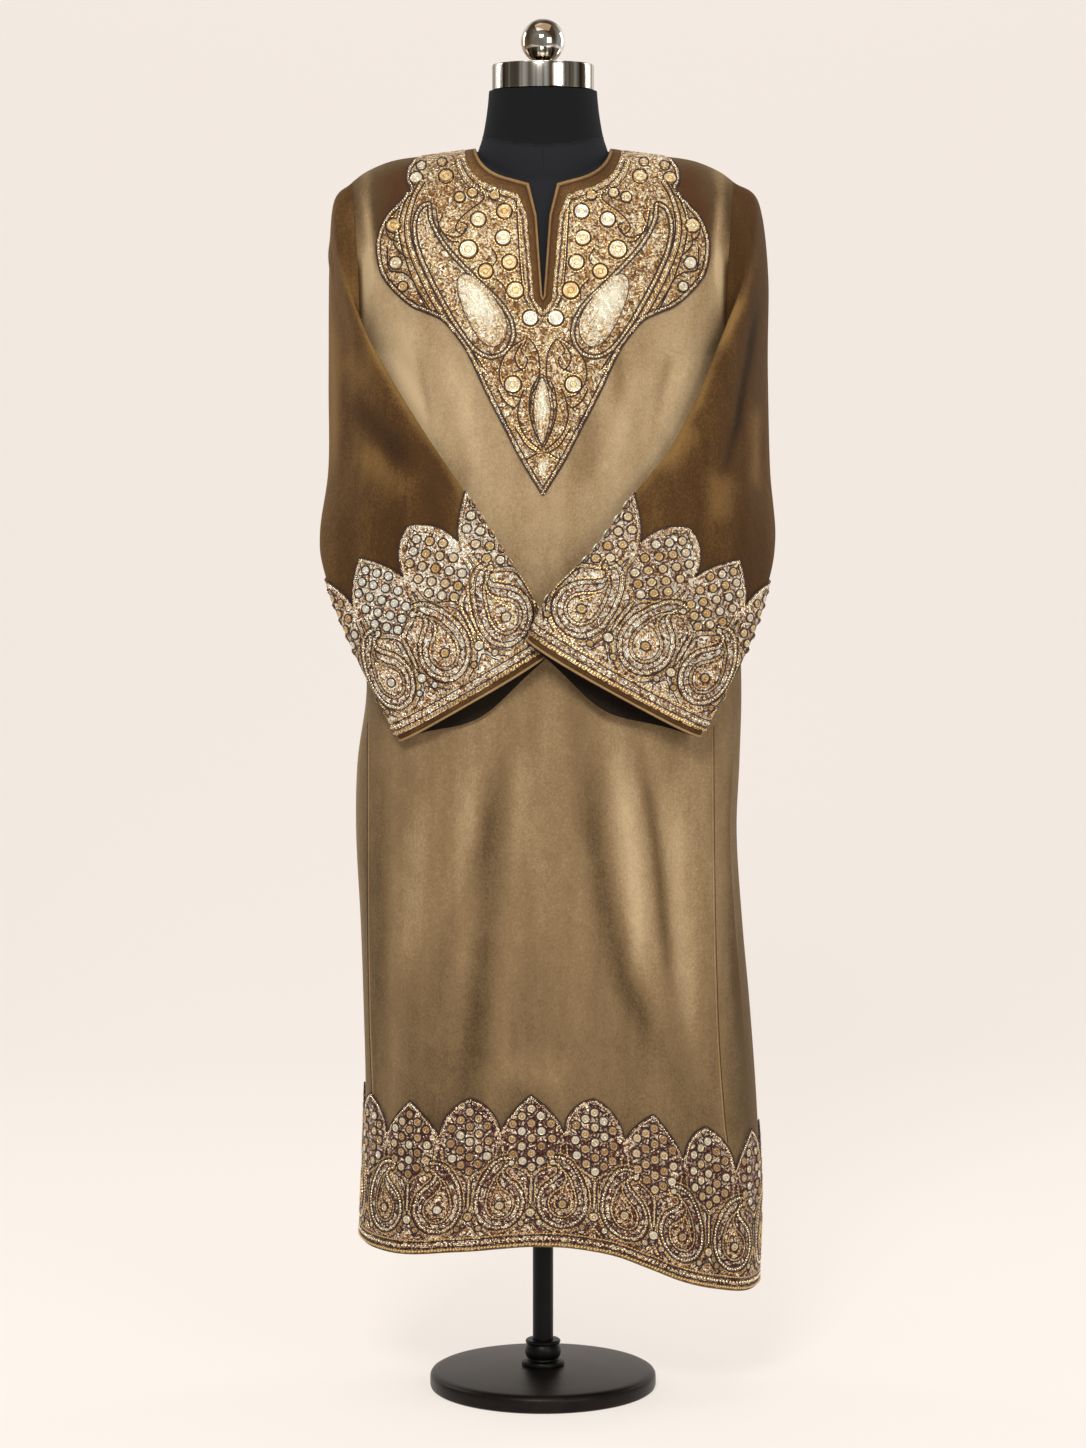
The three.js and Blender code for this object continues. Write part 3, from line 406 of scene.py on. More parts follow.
def placesAbove(sleeve, fractions, distances):  # stations at distances up from the cuff's edge
    places = np.linspace(len(sleeve["stations"]), 0, garment["fineSteps"])
    lengths = lengthsAlong(sleevePoint(sleeve, fractions[None, :], places[:, None]))
    return np.stack([np.interp(distances, lengths[:, c], places) for c in range(len(fractions))], 1)


def sleeveLift(sleeve, around, points):  # creases of the outer side, whose troughs stay off the inner one
    lift = creaseHeight(sleeve["creases"], points[..., 0], points[..., 2])
    ridge = fade(0.18, 0.3, around) * (1 - fade(0.7, 0.82, around))
    trough = fade(0.27, 0.42, around) * (1 - fade(0.58, 0.73, around)) * 0.6
    return lift * np.where(lift > 0, ridge, trough)


def sleeveGrid(sleeve, fractions, upper, distances):
    ends = placesAbove(sleeve, fractions, np.array([sleeveFit["cuffLength"]]))
    places = np.concatenate([upper[:, None] * ends, placesAbove(sleeve, fractions, distances)])
    around = np.repeat(fractions[None, :], len(places), axis=0)
    points, normals = sleevePoint(sleeve, around, places), sleeveNormal(sleeve, around, places)
    return points + normals * sleeveLift(sleeve, around, points)[..., None], normals


for sleeve in sleeves.values():
    sleeve["front"] = armholeChain(sleeve["side"], "front")
    sleeve["back"] = armholeChain(sleeve["side"], "back")
print("sleeve surfaces ready")


# Meshes

def selectOnly(piece):
    bpy.ops.object.select_all(action="DESELECT")
    piece.select_set(True)
    bpy.context.view_layer.objects.active = piece


def newPiece(name, points, faces, uvs=None):
    mesh = bpy.data.meshes.new(name)
    mesh.from_pydata((np.asarray(points) * mm).tolist(), [], faces)
    if uvs is not None:
        layer = mesh.uv_layers.new(name="UVMap")
        corners = np.zeros(len(mesh.loops), dtype=np.int64)
        mesh.loops.foreach_get("vertex_index", corners)
        layer.data.foreach_set("uv", np.asarray(uvs, float)[corners].ravel())
    mesh.validate()
    piece = bpy.data.objects.new(name, mesh)
    bpy.context.scene.collection.objects.link(piece)
    return piece


def gridFaces(rows, columns, isTube=False, flip=False):
    faces = []
    for r in range(rows - 1):
        for c in range(columns if isTube else columns - 1):
            d = (c + 1) % columns
            quad = (r * columns + c, (r + 1) * columns + c, (r + 1) * columns + d, r * columns + d)
            faces.append(quad[::-1] if flip else quad)
    return faces


def applyAll(piece):
    selectOnly(piece)
    for modifier in list(piece.modifiers):
        bpy.ops.object.modifier_apply(modifier=modifier.name)
    piece.select_set(False)


def thicken(piece, thickness, innerSlot=0):
    shell = piece.modifiers.new("clothThickness", "SOLIDIFY")
    shell.thickness = thickness * mm
    shell.offset = -1
    shell.material_offset = innerSlot
    applyAll(piece)


def smooth(piece, degrees=50):
    selectOnly(piece)
    bpy.ops.object.shade_smooth_by_angle(angle=math.radians(degrees))
    piece.select_set(False)


def faceOutwards(piece, mergeWithin=0):
    selectOnly(piece)
    bpy.ops.object.mode_set(mode="EDIT")
    bpy.ops.mesh.select_all(action="SELECT")
    if mergeWithin:
        bpy.ops.mesh.remove_doubles(threshold=mergeWithin)
    bpy.ops.mesh.normals_make_consistent(inside=False)
    bpy.ops.object.mode_set(mode="OBJECT")


def combine(piece, other, operation):  # joins another solid to the piece, or cuts it out
    change = piece.modifiers.new("combined", "BOOLEAN")
    change.object = other
    change.operation = operation
    change.solver = "EXACT"
    applyAll(piece)
    bpy.data.objects.remove(other)


def setMaterial(piece, *chosen):
    piece.data.materials.clear()
    for material in chosen:
        piece.data.materials.append(material)


def paint(piece, name, values):  # one number at each point, for a material to read
    attribute = piece.data.attributes.new(name, "FLOAT", "POINT")
    attribute.data.foreach_set("value", np.asarray(values, float).ravel())


def dress(piece, node=None):  # hangs it from the frame's root, and hides the CAD node in whose place it stands
    if node:
        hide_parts(node)
    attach(piece, "root")
    return piece


def finishPiece(piece, material, node=None, degrees=60):
    smooth(piece, degrees)
    setMaterial(piece, materials[material])
    return dress(piece, node)


def pointsOf(piece):
    points = np.zeros(len(piece.data.vertices) * 3)
    piece.data.vertices.foreach_get("co", points)
    return points.reshape(-1, 3) / mm


# Materials

def newMaterial(name, **settings):
    material = bpy.data.materials.new(name)
    material.use_nodes = True
    shader = material.node_tree.nodes["Principled BSDF"]
    for socket, value in settings.items():
        shader.inputs[socket].default_value = value
    return material


def addNode(material, kind, inputs=None, **settings):
    node = material.node_tree.nodes.new("ShaderNode" + kind)
    for name, value in settings.items():
        setattr(node, name, value)
    for name, value in (inputs or {}).items():
        if isinstance(value, bpy.types.NodeSocket):
            material.node_tree.links.new(value, node.inputs[name])
        else:
            node.inputs[name].default_value = value
    return node


def feed(material, socket, value):
    shader = material.node_tree.nodes["Principled BSDF"]
    material.node_tree.links.new(value, shader.inputs[socket])


def objectPlace(material, scale=(1, 1, 1)):
    place = addNode(material, "TexCoord").outputs["Object"]
    return addNode(material, "Mapping", {"Vector": place, "Scale": scale}).outputs["Vector"]


def noise(material, vector, scale, detail=2, roughness=0.5, distortion=0):
    settings = {"Vector": vector, "Scale": scale, "Detail": detail, "Roughness": roughness,
                "Distortion": distortion}
    return addNode(material, "TexNoise", settings).outputs["Fac"]


def add(material, a, b, factor=1.0, offset=0.0):  # a + b * factor + offset
    grown = addNode(material, "Math", {0: b, 1: factor, 2: offset}, operation="MULTIPLY_ADD")
    return addNode(material, "Math", {0: a, 1: grown.outputs[0]}, operation="ADD").outputs[0]


def ramp(material, factor, stops):
    node = addNode(material, "ValToRGB", {"Fac": factor})
    elements = node.color_ramp.elements
    while len(elements) < len(stops):
        elements.new(0.5)
    for element, (position, colour) in zip(elements, stops):
        element.position = position
        element.color = (*colour, 1)
    return node.outputs["Color"]


def bump(material, height, distance, strength):
    settings = {"Height": height, "Distance": distance, "Strength": strength}
    return addNode(material, "Bump", settings).outputs["Normal"]


def srgb(r, g, b):  # a colour as read off a screen, made linear
    linear = [v / 255 / 12.92 if v <= 10 else ((v / 255 + 0.055) / 1.055) ** 2.4 for v in (r, g, b)]
    return tuple(linear)


def velvet(name, dark, middle, light, speckle=0.42, turned=None):  # turned: a painted shade colour for where the cloth faces away, below dark at the bottom of its scale
    material = newMaterial(name, **{
        "Roughness": 0.85, "Sheen Weight": 0.4, "Sheen Roughness": 0.4,
        "Sheen Tint": (*light, 1), "Specular IOR Level": 0.18,
    })
    cloud = noise(material, objectPlace(material, (1, 1, 0.55)), 6, 3, 0.5, 0.3)
    streak = noise(material, objectPlace(material, (22, 12, 1.8)), 1, 3, 0.5)
    patch = noise(material, objectPlace(material, (1, 1, 0.6)), 60, 4, 0.7, 0.5)
    pile = noise(material, objectPlace(material, (1, 1, 0.8)), 430, 4, 0.85)
    # the nap and painted light on the points: painted highlight and painted shade of folds, fold edges and
    # seams, added to the velvet's own tone
    napAndPaintedLight = addNode(material, "Attribute", attribute_name="napAndPaintedLight").outputs["Fac"]
    tone = add(material, napAndPaintedLight, cloud, 0.5, -0.25)
    tone = add(material, tone, streak, 0.6, -0.3)
    tone = add(material, tone, patch, 0.3, -0.15)
    tone = add(material, tone, pile, speckle * 2, 0.5 - speckle)
    tone = addNode(material, "MapRange", {0: tone, 1: -0.5, 2: 1.0}).outputs[0]
    shades = [(0.0, turned or dark), (0.33, dark), (0.67, middle), (1.0, light)]
    feed(material, "Base Color", ramp(material, tone, shades))
    weave = noise(material, objectPlace(material), 1100, 2, 0.6)
    height = add(material, weave, patch, 1.4)
    feed(material, "Normal", bump(material, height, 0.0006, 0.5))
    return material


materials = {
    # the body's velvet: its turned colour is a brown painted shade for the shoulders, where the cloth faces
    # away
    "bodyVelvet": velvet("bodyVelvet", srgb(80, 62, 39), srgb(134, 110, 78), srgb(184, 161, 125),
                         turned=srgb(72, 41, 17)),
    # the same velvet, darker and browner for its nap seen at another angle: a painted shade
    "sleeveVelvet": velvet("sleeveVelvet", srgb(36, 22, 8), srgb(73, 48, 20), srgb(124, 94, 52)),
    # the back of the velvet on the sleeves' inner faces, near black as painted shade for the dark inside of
    # the cuffs' mouths
    "shadedInnerVelvet": velvet("shadedInnerVelvet", srgb(14, 9, 5), srgb(26, 18, 10), srgb(44, 32, 19)),
    "bindingVelvet": velvet("bindingVelvet", srgb(46, 28, 12), srgb(88, 60, 31), srgb(150, 117, 76)),
}
print("velvets ready")


# The cloth panels

# Strokes of the front's nap and painted light: a line seen from the front, its width, and how much lighter
# or darker the velvet is, with painted highlight on ridges and fold edges and painted shade in troughs, at
# the armhole seams and over the shoulders
frontNapAndPaintedLight = [
    ([(-41, 787), (-126, 463)], 15, -0.34),
    ([(-50, 760), (-53, 691), (-78, 417), (-92, 330)], 18, -0.42),
    ([(-80, 760), (-84, 691), (-104, 470)], 14, 0.3),
    ([(-23, 800), (-27, 620)], 16, 0.2),
    ([(50, 787), (55, 704), (87, 527), (146, 391)], 16, -0.4),
    ([(88, 790), (110, 567), (120, 470)], 15, 0.42),
    ([(110, 790), (130, 658), (149, 480)], 7, -0.42),
    ([(144, 760), (173, 397)], 15, 0.34),
    ([(-186, 790), (-189, 360)], 13, -0.2),
    ([(222, 780), (228, 560), (232, 400)], 9, -0.35),
    ([(-200, 330), (0, 330), (220, 320)], 30, -0.12),
    ([(-141, 740), (-164, 480)], 14, 0.22),
    ([(-60, 410), (40, 400)], 22, 0.2),
    ([(-170, 1280), (-150, 1180), (-122, 1090)], 24, 0.34),
    ([(-108, 1240), (-76, 1090)], 14, 0.24),
    ([(-147, 1248), (-124, 1130)], 6, -0.26),
    ([(170, 1280), (148, 1180), (120, 1090)], 24, 0.16),
    ([(110, 1220), (78, 1090)], 12, 0.18),
    ([(78, 1270), (92, 1150)], 9, -0.26),
    ([(62, 1180), (44, 1070)], 14, -0.2),
    ([(-84, 1160), (-92, 1040)], 9, -0.16),
    ([(-214, 1345), (-213, 1250)], 4.5, -1.3),
    ([(214, 1345), (213, 1250)], 4.5, -1.3),
    ([(150, 1250), (120, 1120)], 6, -0.24),
    ([(-150, 1475), (-176, 1400), (-186, 1320)], 24, -0.5),
    ([(150, 1475), (176, 1400), (186, 1320)], 24, -0.5),
    ([(-206, 1420), (-199, 1360), (-203, 1290)], 5, 0.55),
    ([(206, 1420), (200, 1360), (204, 1290)], 5, 0.5),
]
# The back's strokes the same way: painted highlight on the ridges of its folds, painted shade in their
# troughs and over the shoulders
backNapAndPaintedLight = [
    ([(-60, 1250), (-96, 300)], 22, 0.3),
    ([(-14, 1180), (-34, 260)], 18, -0.3),
    ([(34, 1230), (36, 260)], 22, 0.3),
    ([(84, 1160), (108, 280)], 20, -0.3),
    ([(132, 1100), (172, 280)], 20, 0.3),
    ([(-124, 1100), (-158, 280)], 18, -0.3),
    ([(-190, 1450), (0, 1420), (190, 1450)], 30, -0.3),
]
rowSpread = 1.12  # rows lie a little closer at the top
panels = {
    "front": {"node": "front_panel", "columns": 116, "rows": 165, "napAndPaintedLight": frontNapAndPaintedLight},
    "back": {"node": "back_panel", "columns": 90, "rows": 112, "napAndPaintedLight": backNapAndPaintedLight},
}


neckEdge = {  # corners of the left half as x, its change for each mm outwards, z, its change
    "front": {"bend": (4, 1440), "counts": (8, 10, 24, 2),
              "corners": [(-42, -0.6, 1430, -1), (-17, -0.9, 1423, -1), (-8, -0.85, 1386, 0),
                          (-1.5, -0.7, 1295, -0.5), (0, 0, 1291, -1.1)]},
    "back": {"bend": (6, 1450), "counts": (10,), "corners": [(-34, 0, 1447, -1), (0, 0, 1447, -1)]},
}


def neckPath(grow, face, fine=1):  # the neck's edge from left to right, the same count at any width
    edge = neckEdge[face]
    half = garment["neckHalfWidth"] + grow
    start = np.array([-half, float(lookup(garment["shoulderLine"], half)) - 0.3])
    bend = np.array([edge["bend"][0] - half, edge["bend"][1] - grow])
    corners = [np.array([x + outX * grow, z + outZ * grow]) for x, outX, z, outZ in edge["corners"]]
    t = np.linspace(0, 1, 20 * fine)[:, None]
    path = [(1 - t) ** 2 * start + 2 * t * (1 - t) * bend + t**2 * corners[0]]
    for a, b, count in zip(corners, corners[1:], edge["counts"]):
        t = np.linspace(0, 1, count * fine + 1)[1:, None]
        path.append(a * (1 - t) + b * t)
    half = np.concatenate(path)
    return np.concatenate([half, half[-2::-1] * [-1, 1]])


def neckCutter(face):  # a prism through the neck's edge
    path = neckPath(0, face)
    top = garment["shoulderTop"] + 60
    outline = np.concatenate([path, [(path[-1][0], top), (path[0][0], top)]])
    y = [-260, 1] if face == "front" else [260, -1]
    count = len(outline)
    points = [(x, depth, z) for depth in y for x, z in outline]
    faces = [tuple(range(count)), tuple(range(2 * count - 1, count - 1, -1))]
    faces += [(i, i + count, (i + 1) % count + count, (i + 1) % count) for i in range(count)]
    cutter = newPiece("neckCutter", points, faces)
    faceOutwards(cutter)
    return cutter


def panelNapAndPaintedLight(x, z, creases):  # the velvet's nap and painted light: painted shade at the sides where the panel turns away and over the shoulders, a painted highlight on the armhole folds, and its creases' strokes; lighter over the chest and darker towards the foot
    tone = 0.2 * fade(900, 1050, z) - 0.2 * (1 - fade(350, 620, z)) - 0.6 * fade(1315, 1400, z)
    tone = tone + 0.25 * np.exp(-(((np.abs(x) - 206) / 7) ** 2)) * fade(1250, 1300, z)
    return tone + creaseHeight(creases, x, z) - 0.3 * fade(0.82, 1.0, np.abs(x) / bodyWidth(z, x < 0))


def makePanel(face, settings):
    parts = np.linspace(0, 1, settings["columns"])
    rows = np.linspace(0, 1, settings["rows"]) ** rowSpread * garment["hemRow"]
    points = panelGrid(face, rows, parts)[0]
    uvs = np.stack(np.meshgrid(parts * 0.5, rows * mm), -1).reshape(-1, 2)
    faces = gridFaces(settings["rows"], settings["columns"])
    piece = newPiece(face + "Cloth", points.reshape(-1, 3), faces, uvs)
    x, _, z = points.reshape(-1, 3).T
    paint(piece, "napAndPaintedLight", panelNapAndPaintedLight(x, z, settings["napAndPaintedLight"]))
    thicken(piece, garment["thickness"])
    combine(piece, neckCutter(face), "DIFFERENCE")
    return finishPiece(piece, "bodyVelvet", settings["node"], degrees=50)


frontCloth = makePanel("front", panels["front"])
backCloth = makePanel("back", panels["back"])
print("panels ready:", len(frontCloth.data.polygons), len(backCloth.data.polygons))


# The sleeves

# Strokes of the sleeves' nap and painted light: painted highlight along the fold edges, painted shade in
# the creases beside them
sleeveNapAndPaintedLight = {
    "left": [
        ([(-246, 1358), (-215, 1289), (-186, 1219), (-148, 1157), (-116, 1113), (-50, 1010)], 6, 0.42),
        ([(-245, 1290), (-243, 1180), (-244, 1080)], 8, 0.3),
        ([(-228, 1180), (-140, 1090)], 14, -0.3),
        ([(-215, 1130), (-150, 1060)], 16, 0.26),
        ([(-236, 1230), (-200, 1190)], 14, 0.16),
    ],
    "right": [
        ([(253, 1364), (230, 1290), (196, 1239), (179, 1176), (139, 1113), (65, 1016)], 6, 0.42),
        ([(252, 1300), (240, 1240), (224, 1150), (204, 1080)], 6, -0.5),
        ([(232, 1300), (196, 1222)], 9, 0.4),
        ([(180, 1150), (128, 1092)], 14, 0.34),
        ([(248, 1180), (244, 1060)], 9, 0.3),
        ([(209, 1098), (200, 1028)], 16, 0.26),
    ],
}
sleeveMesh = {"columns": 88, "upperRows": 72, "cuffRows": 40}


def makeSleeve(name, sleeve):
    columns = sleeveMesh["columns"]
    fractions = np.arange(columns) / columns
    upper = np.linspace(0, 1, sleeveMesh["upperRows"])
    distances = np.linspace(sleeveFit["cuffLength"], 0, sleeveMesh["cuffRows"])[1:]
    points, normals = sleeveGrid(sleeve, fractions, upper, distances)
    rows = len(points)
    nearBody = np.exp(-((np.minimum(fractions, 1 - fractions) / sleeveFit["innerWidth"]) ** 2))
    down = unit(points[-1] - points[-9])
    nearEdge = np.zeros(rows)
    nearEdge[rows - len(distances):] = np.clip(1 - distances / sleeveFit["innerReach"], 0, 1) ** 2
    points = points + down[None] * (nearEdge[:, None] * nearBody[None] * sleeveFit["innerFall"])[..., None]
    faces = gridFaces(rows, columns, isTube=True, flip=sleeve["side"] < 0)
    piece = newPiece(name + "Sleeve", points.reshape(-1, 3), faces)
    x, _, z = points.reshape(-1, 3).T
    # the nap and painted light go on the outer side only
    outside = np.tile(fade(0.15, 0.25, fractions) * (1 - fade(0.75, 0.85, fractions)), rows)
    paint(piece, "napAndPaintedLight", creaseHeight(sleeveNapAndPaintedLight[name], x, z) * outside)
    setMaterial(piece, materials["sleeveVelvet"], materials["shadedInnerVelvet"])
    thicken(piece, sleeveFit["thickness"], innerSlot=1)
    smooth(piece)
    return dress(piece, "sleeve_" + name)


leftSleeve = makeSleeve("left", sleeves["left"])
rightSleeve = makeSleeve("right", sleeves["right"])
print("sleeves ready:", len(leftSleeve.data.polygons), len(rightSleeve.data.polygons))


# Embroidery: motifs are drawn flat in mm, and laid on a surface as cords, beads and coiled discs

bandGround = {"columnsPerLeaf": 60, "rowStep": 2, "top": 1.7, "thickness": 1.3}
hemField = {"leafWidth": 67, "edge": 1272, "rows": 94}
cuffField = {"leafWidth": 72, "leaves": 6, "rows": 113, "foot": 8, "growth": 1.165}


def hemSurface(face, leaves):  # along the hem, and up from its edge
    parts = np.linspace(0, 1, bandGround["columnsPerLeaf"] * leaves + 1)
    drops = hemField["edge"] - bandGround["rowStep"] * np.arange(hemField["rows"])
    points, normals = panelGrid(face, drops, parts)
    return {"points": points, "normals": normals, "isTube": False,
            "across": bandGround["columnsPerLeaf"] / hemField["leafWidth"]}


def cuffSurface(sleeve):  # round the cuff, and up from its edge
    columns = bandGround["columnsPerLeaf"] * cuffField["leaves"]
    fractions = np.arange(columns) / columns
    distances = bandGround["rowStep"] * np.arange(cuffField["rows"])
    places = placesAbove(sleeve, fractions, distances)
    around = np.repeat(fractions[None, :], len(distances), axis=0)
    points, normals = sleevePoint(sleeve, around, places), sleeveNormal(sleeve, around, places)
    points = points + normals * sleeveLift(sleeve, around, points)[..., None]
    return {"points": points, "normals": normals, "isTube": True,
            "across": bandGround["columnsPerLeaf"] / cuffField["leafWidth"]}


def layOn(surface, flat, lift=0):  # flat places in mm to points and normals on a surface
    a, b = np.asarray(flat, float).T
    if surface == "panel":
        points, normals = panelPoint(a, b)
    else:
        rows, columns = surface["points"].shape[:2]
        r, c = b / bandGround["rowStep"], a * surface["across"]
        r0 = np.clip(np.floor(r), 0, rows - 2).astype(int)
        c0 = np.floor(c).astype(int)
        if not surface["isTube"]:
            c0 = np.clip(c0, 0, columns - 2)
        fr, fc = (r - r0)[:, None], (c - c0)[:, None]
        c1, c0 = (c0 + 1) % columns, c0 % columns
        read = []
        for grid in (surface["points"], surface["normals"]):
            low = grid[r0, c0] * (1 - fc) + grid[r0, c1] * fc
            high = grid[r0 + 1, c0] * (1 - fc) + grid[r0 + 1, c1] * fc
            read.append(low * (1 - fr) + high * fr)
        points, normals = read[0], unit(read[1])
    return points + normals * lift, normals


def smoothLine(points, step=2.2, closed=False):  # an even, rounded line through a few points
    points = np.array(points, float)
    if closed:
        points = np.concatenate([points[-1:], points, points[:2]])
    else:
        points = np.concatenate([[2 * points[0] - points[1]], points, [2 * points[-1] - points[-2]]])
    t = np.linspace(0, 1, 12, endpoint=False)[:, None]
    pieces = []
    for a, b, c, d in zip(points, points[1:], points[2:], points[3:]):
        bend = (2 * a - 5 * b + 4 * c - d) * t**2 + (3 * b - a - 3 * c + d) * t**3
        pieces.append(b + 0.5 * ((c - a) * t + bend))
    line = np.concatenate(pieces + [points[-2:-1]])
    lengths = lengthsAlong(line)
    count = max(int(round(lengths[-1] / step)), 3)
    return readAlong(lengths, line, np.linspace(0, lengths[-1], count + 1)[: count if closed else None])


def alongLine(points, closed):  # the line's direction at each of its points
    if closed:
        return unit(np.roll(points, -1, axis=0) - np.roll(points, 1, axis=0))
    return unit(np.gradient(points, axis=0))


def shifted(line, distance, closed=False):  # a line moved to its left by a distance
    along = alongLine(line, closed)
    return line + np.stack([-along[:, 1], along[:, 0]], 1) * distance


def newWork():
    return {"plum": [], "gold": [], "beads": [], "discs": [], "satin": []}


def cord(work, kind, line, width, closed=False):
    work[kind].append({"line": line, "width": width, "closed": closed})


def beadRow(work, line, radius, closed=False, spacing=2.3):
    step = smoothLine(line, radius * spacing, closed)
    work["beads"].extend({"at": at, "radius": radius} for at in step)


def discSides(radius):
    return 10 if radius < 7 else 16


def disc(work, x, y, radius):  # a coiled disc in its ring of plum cord
    work["discs"].append({"at": (x, y), "radius": radius})
    cord(work, "plum", circle(x, y, radius + 0.6, discSides(radius)), 0.95, closed=True)


# One repeat of the hem's drawing: a leaf with its discs, its stem, and the paisley beside it
unitMotif = {
    "period": 67,
    "valley": 132,
    "tip": 176,
    "discRadius": 5.0,
    "discs": [(160, [0]), (151.5, [-10, 10]), (143, [-20, 0, 20]), (134, [-10.5, 10.5]),
              (125.5, [-21, 0, 21]), (116.5, [-10.5, 10.5]), (108, [-19.5, 0, 19.5]),
              (99.5, [-9.5, 9.5]), (92, [0])],
    "tipVein": [(0.8, 173), (4, 166), (11, 161.5), (17, 155)],
    "stemSide": [(33, 118), (31, 103), (22, 93), (9, 86), (3.4, 78), (3.2, 56), (6, 42), (13, 29),
                 (25, 20)],
    "stemCords": [(0, "plum", 0.8), (2.6, "gold", 0.7), (5.2, "plum", 0.8)],
    "stemVein": [(8, 79), (7.6, 66), (9, 56)],
    "outer": [(17, 44), (8, 48), (-4, 45), (-14, 35), (-22, 20), (-27, 2), (-26, -16), (-17, -31),
              (-2, -38), (14, -34), (25, -21), (27.5, -4), (22, 11), (13, 20), (6, 27), (7, 34),
              (13, 35.5)],
    "inner": [(8, 34), (1, 33), (-7, 24), (-13, 10), (-16, -4), (-14, -16), (-6, -25), (5, -26),
              (14, -19), (17, -7), (13, 3), (4, 11), (-1, 19), (1, 27)],
    "core": [(-1, 14), (-6, 4), (-9, -8), (-4, -17), (5, -17), (9, -8), (5, 0), (1, 6)],
    "rounds": [("outer", 0, "plum", 0.9), ("outer", -2.0, "gold", 0.8), ("outer", 2.7, "beads", 1.45),
               ("outer", 5.2, "plum", 0.75), ("inner", 0, "plum", 0.8), ("inner", 1.9, "gold", 0.8),
               ("inner", 3.6, "plum", 0.65), ("core", 0, "gold", 0.9)],
    "paisleyDiscs": [(12, 39, 3.4), (0.5, -9.5, 5.0), (-21.5, -34, 3.4), (24, -32, 3.4)],
    "edgeCords": [(2.2, "gold", 1.9), (5.0, "plum", 0.85), (12.2, "plum", 0.85), (14.6, "gold", 1.0)],
}


def leafTop(along):  # height of the leafy edge, with full and slender leaves by turns
    k = np.round(along)
    t = np.abs(along - k) * 2
    full = 0.8 * np.sqrt(np.maximum(1 - t**2.3, 0)) + 0.2 * (1 - t) ** 1.3
    slender = 0.5 * np.sqrt(np.maximum(1 - t**1.8, 0)) + 0.5 * (1 - t) ** 1.1
    share = np.where(k % 2 == 0, full, slender)
    return unitMotif["valley"] + (unitMotif["tip"] - unitMotif["valley"]) * share


def runsInside(line, isInside, least=3):  # the stretches of a line that pass a test at each point
    keep = isInside(line)
    cuts = np.flatnonzero(keep[1:] != keep[:-1]) + 1
    runs = zip(np.split(line, cuts), keep[np.r_[0, cuts]])
    return [run for run, isKept in runs if isKept and len(run) >= least]


def inBand(band, isClosed):  # a test for places within a band of leaves
    end = band["leaves"] * unitMotif["period"]

    def isInside(line, margin=1.2):
        good = line[:, 1] < leafTop(line[:, 0] / unitMotif["period"]) - margin
        return good if isClosed else good & (line[:, 0] > 1) & (line[:, 0] < end - 1)

    return isInside


def leafUnit(work, k, place, isInside):  # one leaf with its discs and stem, at leaf number k
    centre = k * unitMotif["period"]

    def draw(kind, line, width):
        for run in runsInside(line + [centre, 0], isInside):
            cord(work, kind, place(run[:, 0], run[:, 1], True), width)

    for height, offsets in unitMotif["discs"]:
        for x in offsets:
            spot = np.array([[centre + x, height]])
            if isInside(spot, 4.6)[0] and (abs(x) < 27 or height < 120):
                disc(work, *place(centre + x, height), unitMotif["discRadius"])
    for side in (-1, 1):
        tip, vein, under = [smoothLine(np.array(unitMotif[part]) * [side, 1])
                            for part in ("tipVein", "stemVein", "stemSide")]
        draw("plum", tip, 0.65)
        for shift, kind, width in unitMotif["stemCords"]:
            draw(kind, shifted(under, -side * shift), width)
        draw("plum", vein, 0.6)
    stem = smoothLine([(0, 88), (0, 50)])
    for run in runsInside(stem + [centre, 0], isInside):
        beadRow(work, place(run[:, 0], run[:, 1], True), 1.15, spacing=2.6)
    if isInside(np.array([[centre, 40.0]]))[0]:
        disc(work, *place(centre, 39), 5.2)
    draw("plum", smoothLine([(-10, 19), (0, 30), (10, 19)]), 0.7)
    draw("gold", smoothLine([(-7, 19), (0, 26), (7, 19)]), 0.7)


def paisleyUnit(work, k, place):  # one paisley between two stems, its head by turns to either side
    centre, height = (k + 0.5) * unitMotif["period"], 59
    lean = 1 if k % 2 == 0 else -1

    def put(line):
        return place(centre + line[:, 0] * lean, height + line[:, 1], True)

    for part, distance, kind, size in unitMotif["rounds"]:
        line = put(shifted(smoothLine(unitMotif[part], closed=True), distance, True))
        if kind == "beads":
            beadRow(work, line, size, closed=True)
        else:
            cord(work, kind, line, size, closed=True)
    turns = np.linspace(0.2, 6.0, 24)
    spiral = np.stack([12.5 + (8.6 - 0.75 * turns) * np.cos(turns + 0.9),
                       38 + (8.6 - 0.75 * turns) * np.sin(turns + 0.9)], 1)
    cord(work, "gold", put(spiral), 0.7)
    for x, y, radius in unitMotif["paisleyDiscs"]:
        disc(work, *place(centre + x * lean, height + y), radius)


def edgeRows(work, length, place, closed):  # the straight rows along the lower edge
    along = np.linspace(0, length, int(length / 2.4), endpoint=not closed)
    for height, kind, width in unitMotif["edgeCords"]:
        cord(work, kind, place(along, np.full(len(along), height), True), width, closed)
    count = int(length / 4.4)
    beadsAlong = np.arange(count) * length / count
    work["beads"].extend({"at": at, "radius": 1.7} for at in place(beadsAlong, np.full(count, 8.6), True))


def leafEdge(work, length, place, closed):  # a cord and a row of beads along the leafy top
    period = unitMotif["period"]
    along = np.linspace(0, length, int(length / 2.2), endpoint=not closed)
    top = leafTop(along / period)
    line = np.stack([along, top], 1)
    cord(work, "plum", place(along, top - 0.4, True), 0.95, closed)
    inside = shifted(line, -3.0)
    keep = inside[:, 1] < leafTop(inside[:, 0] / period) - 2.2
    for group in np.split(inside, np.flatnonzero(~keep)):
        if len(group) > 6:
            beadRow(work, place(group[1:, 0], group[1:, 1], True), 1.15)


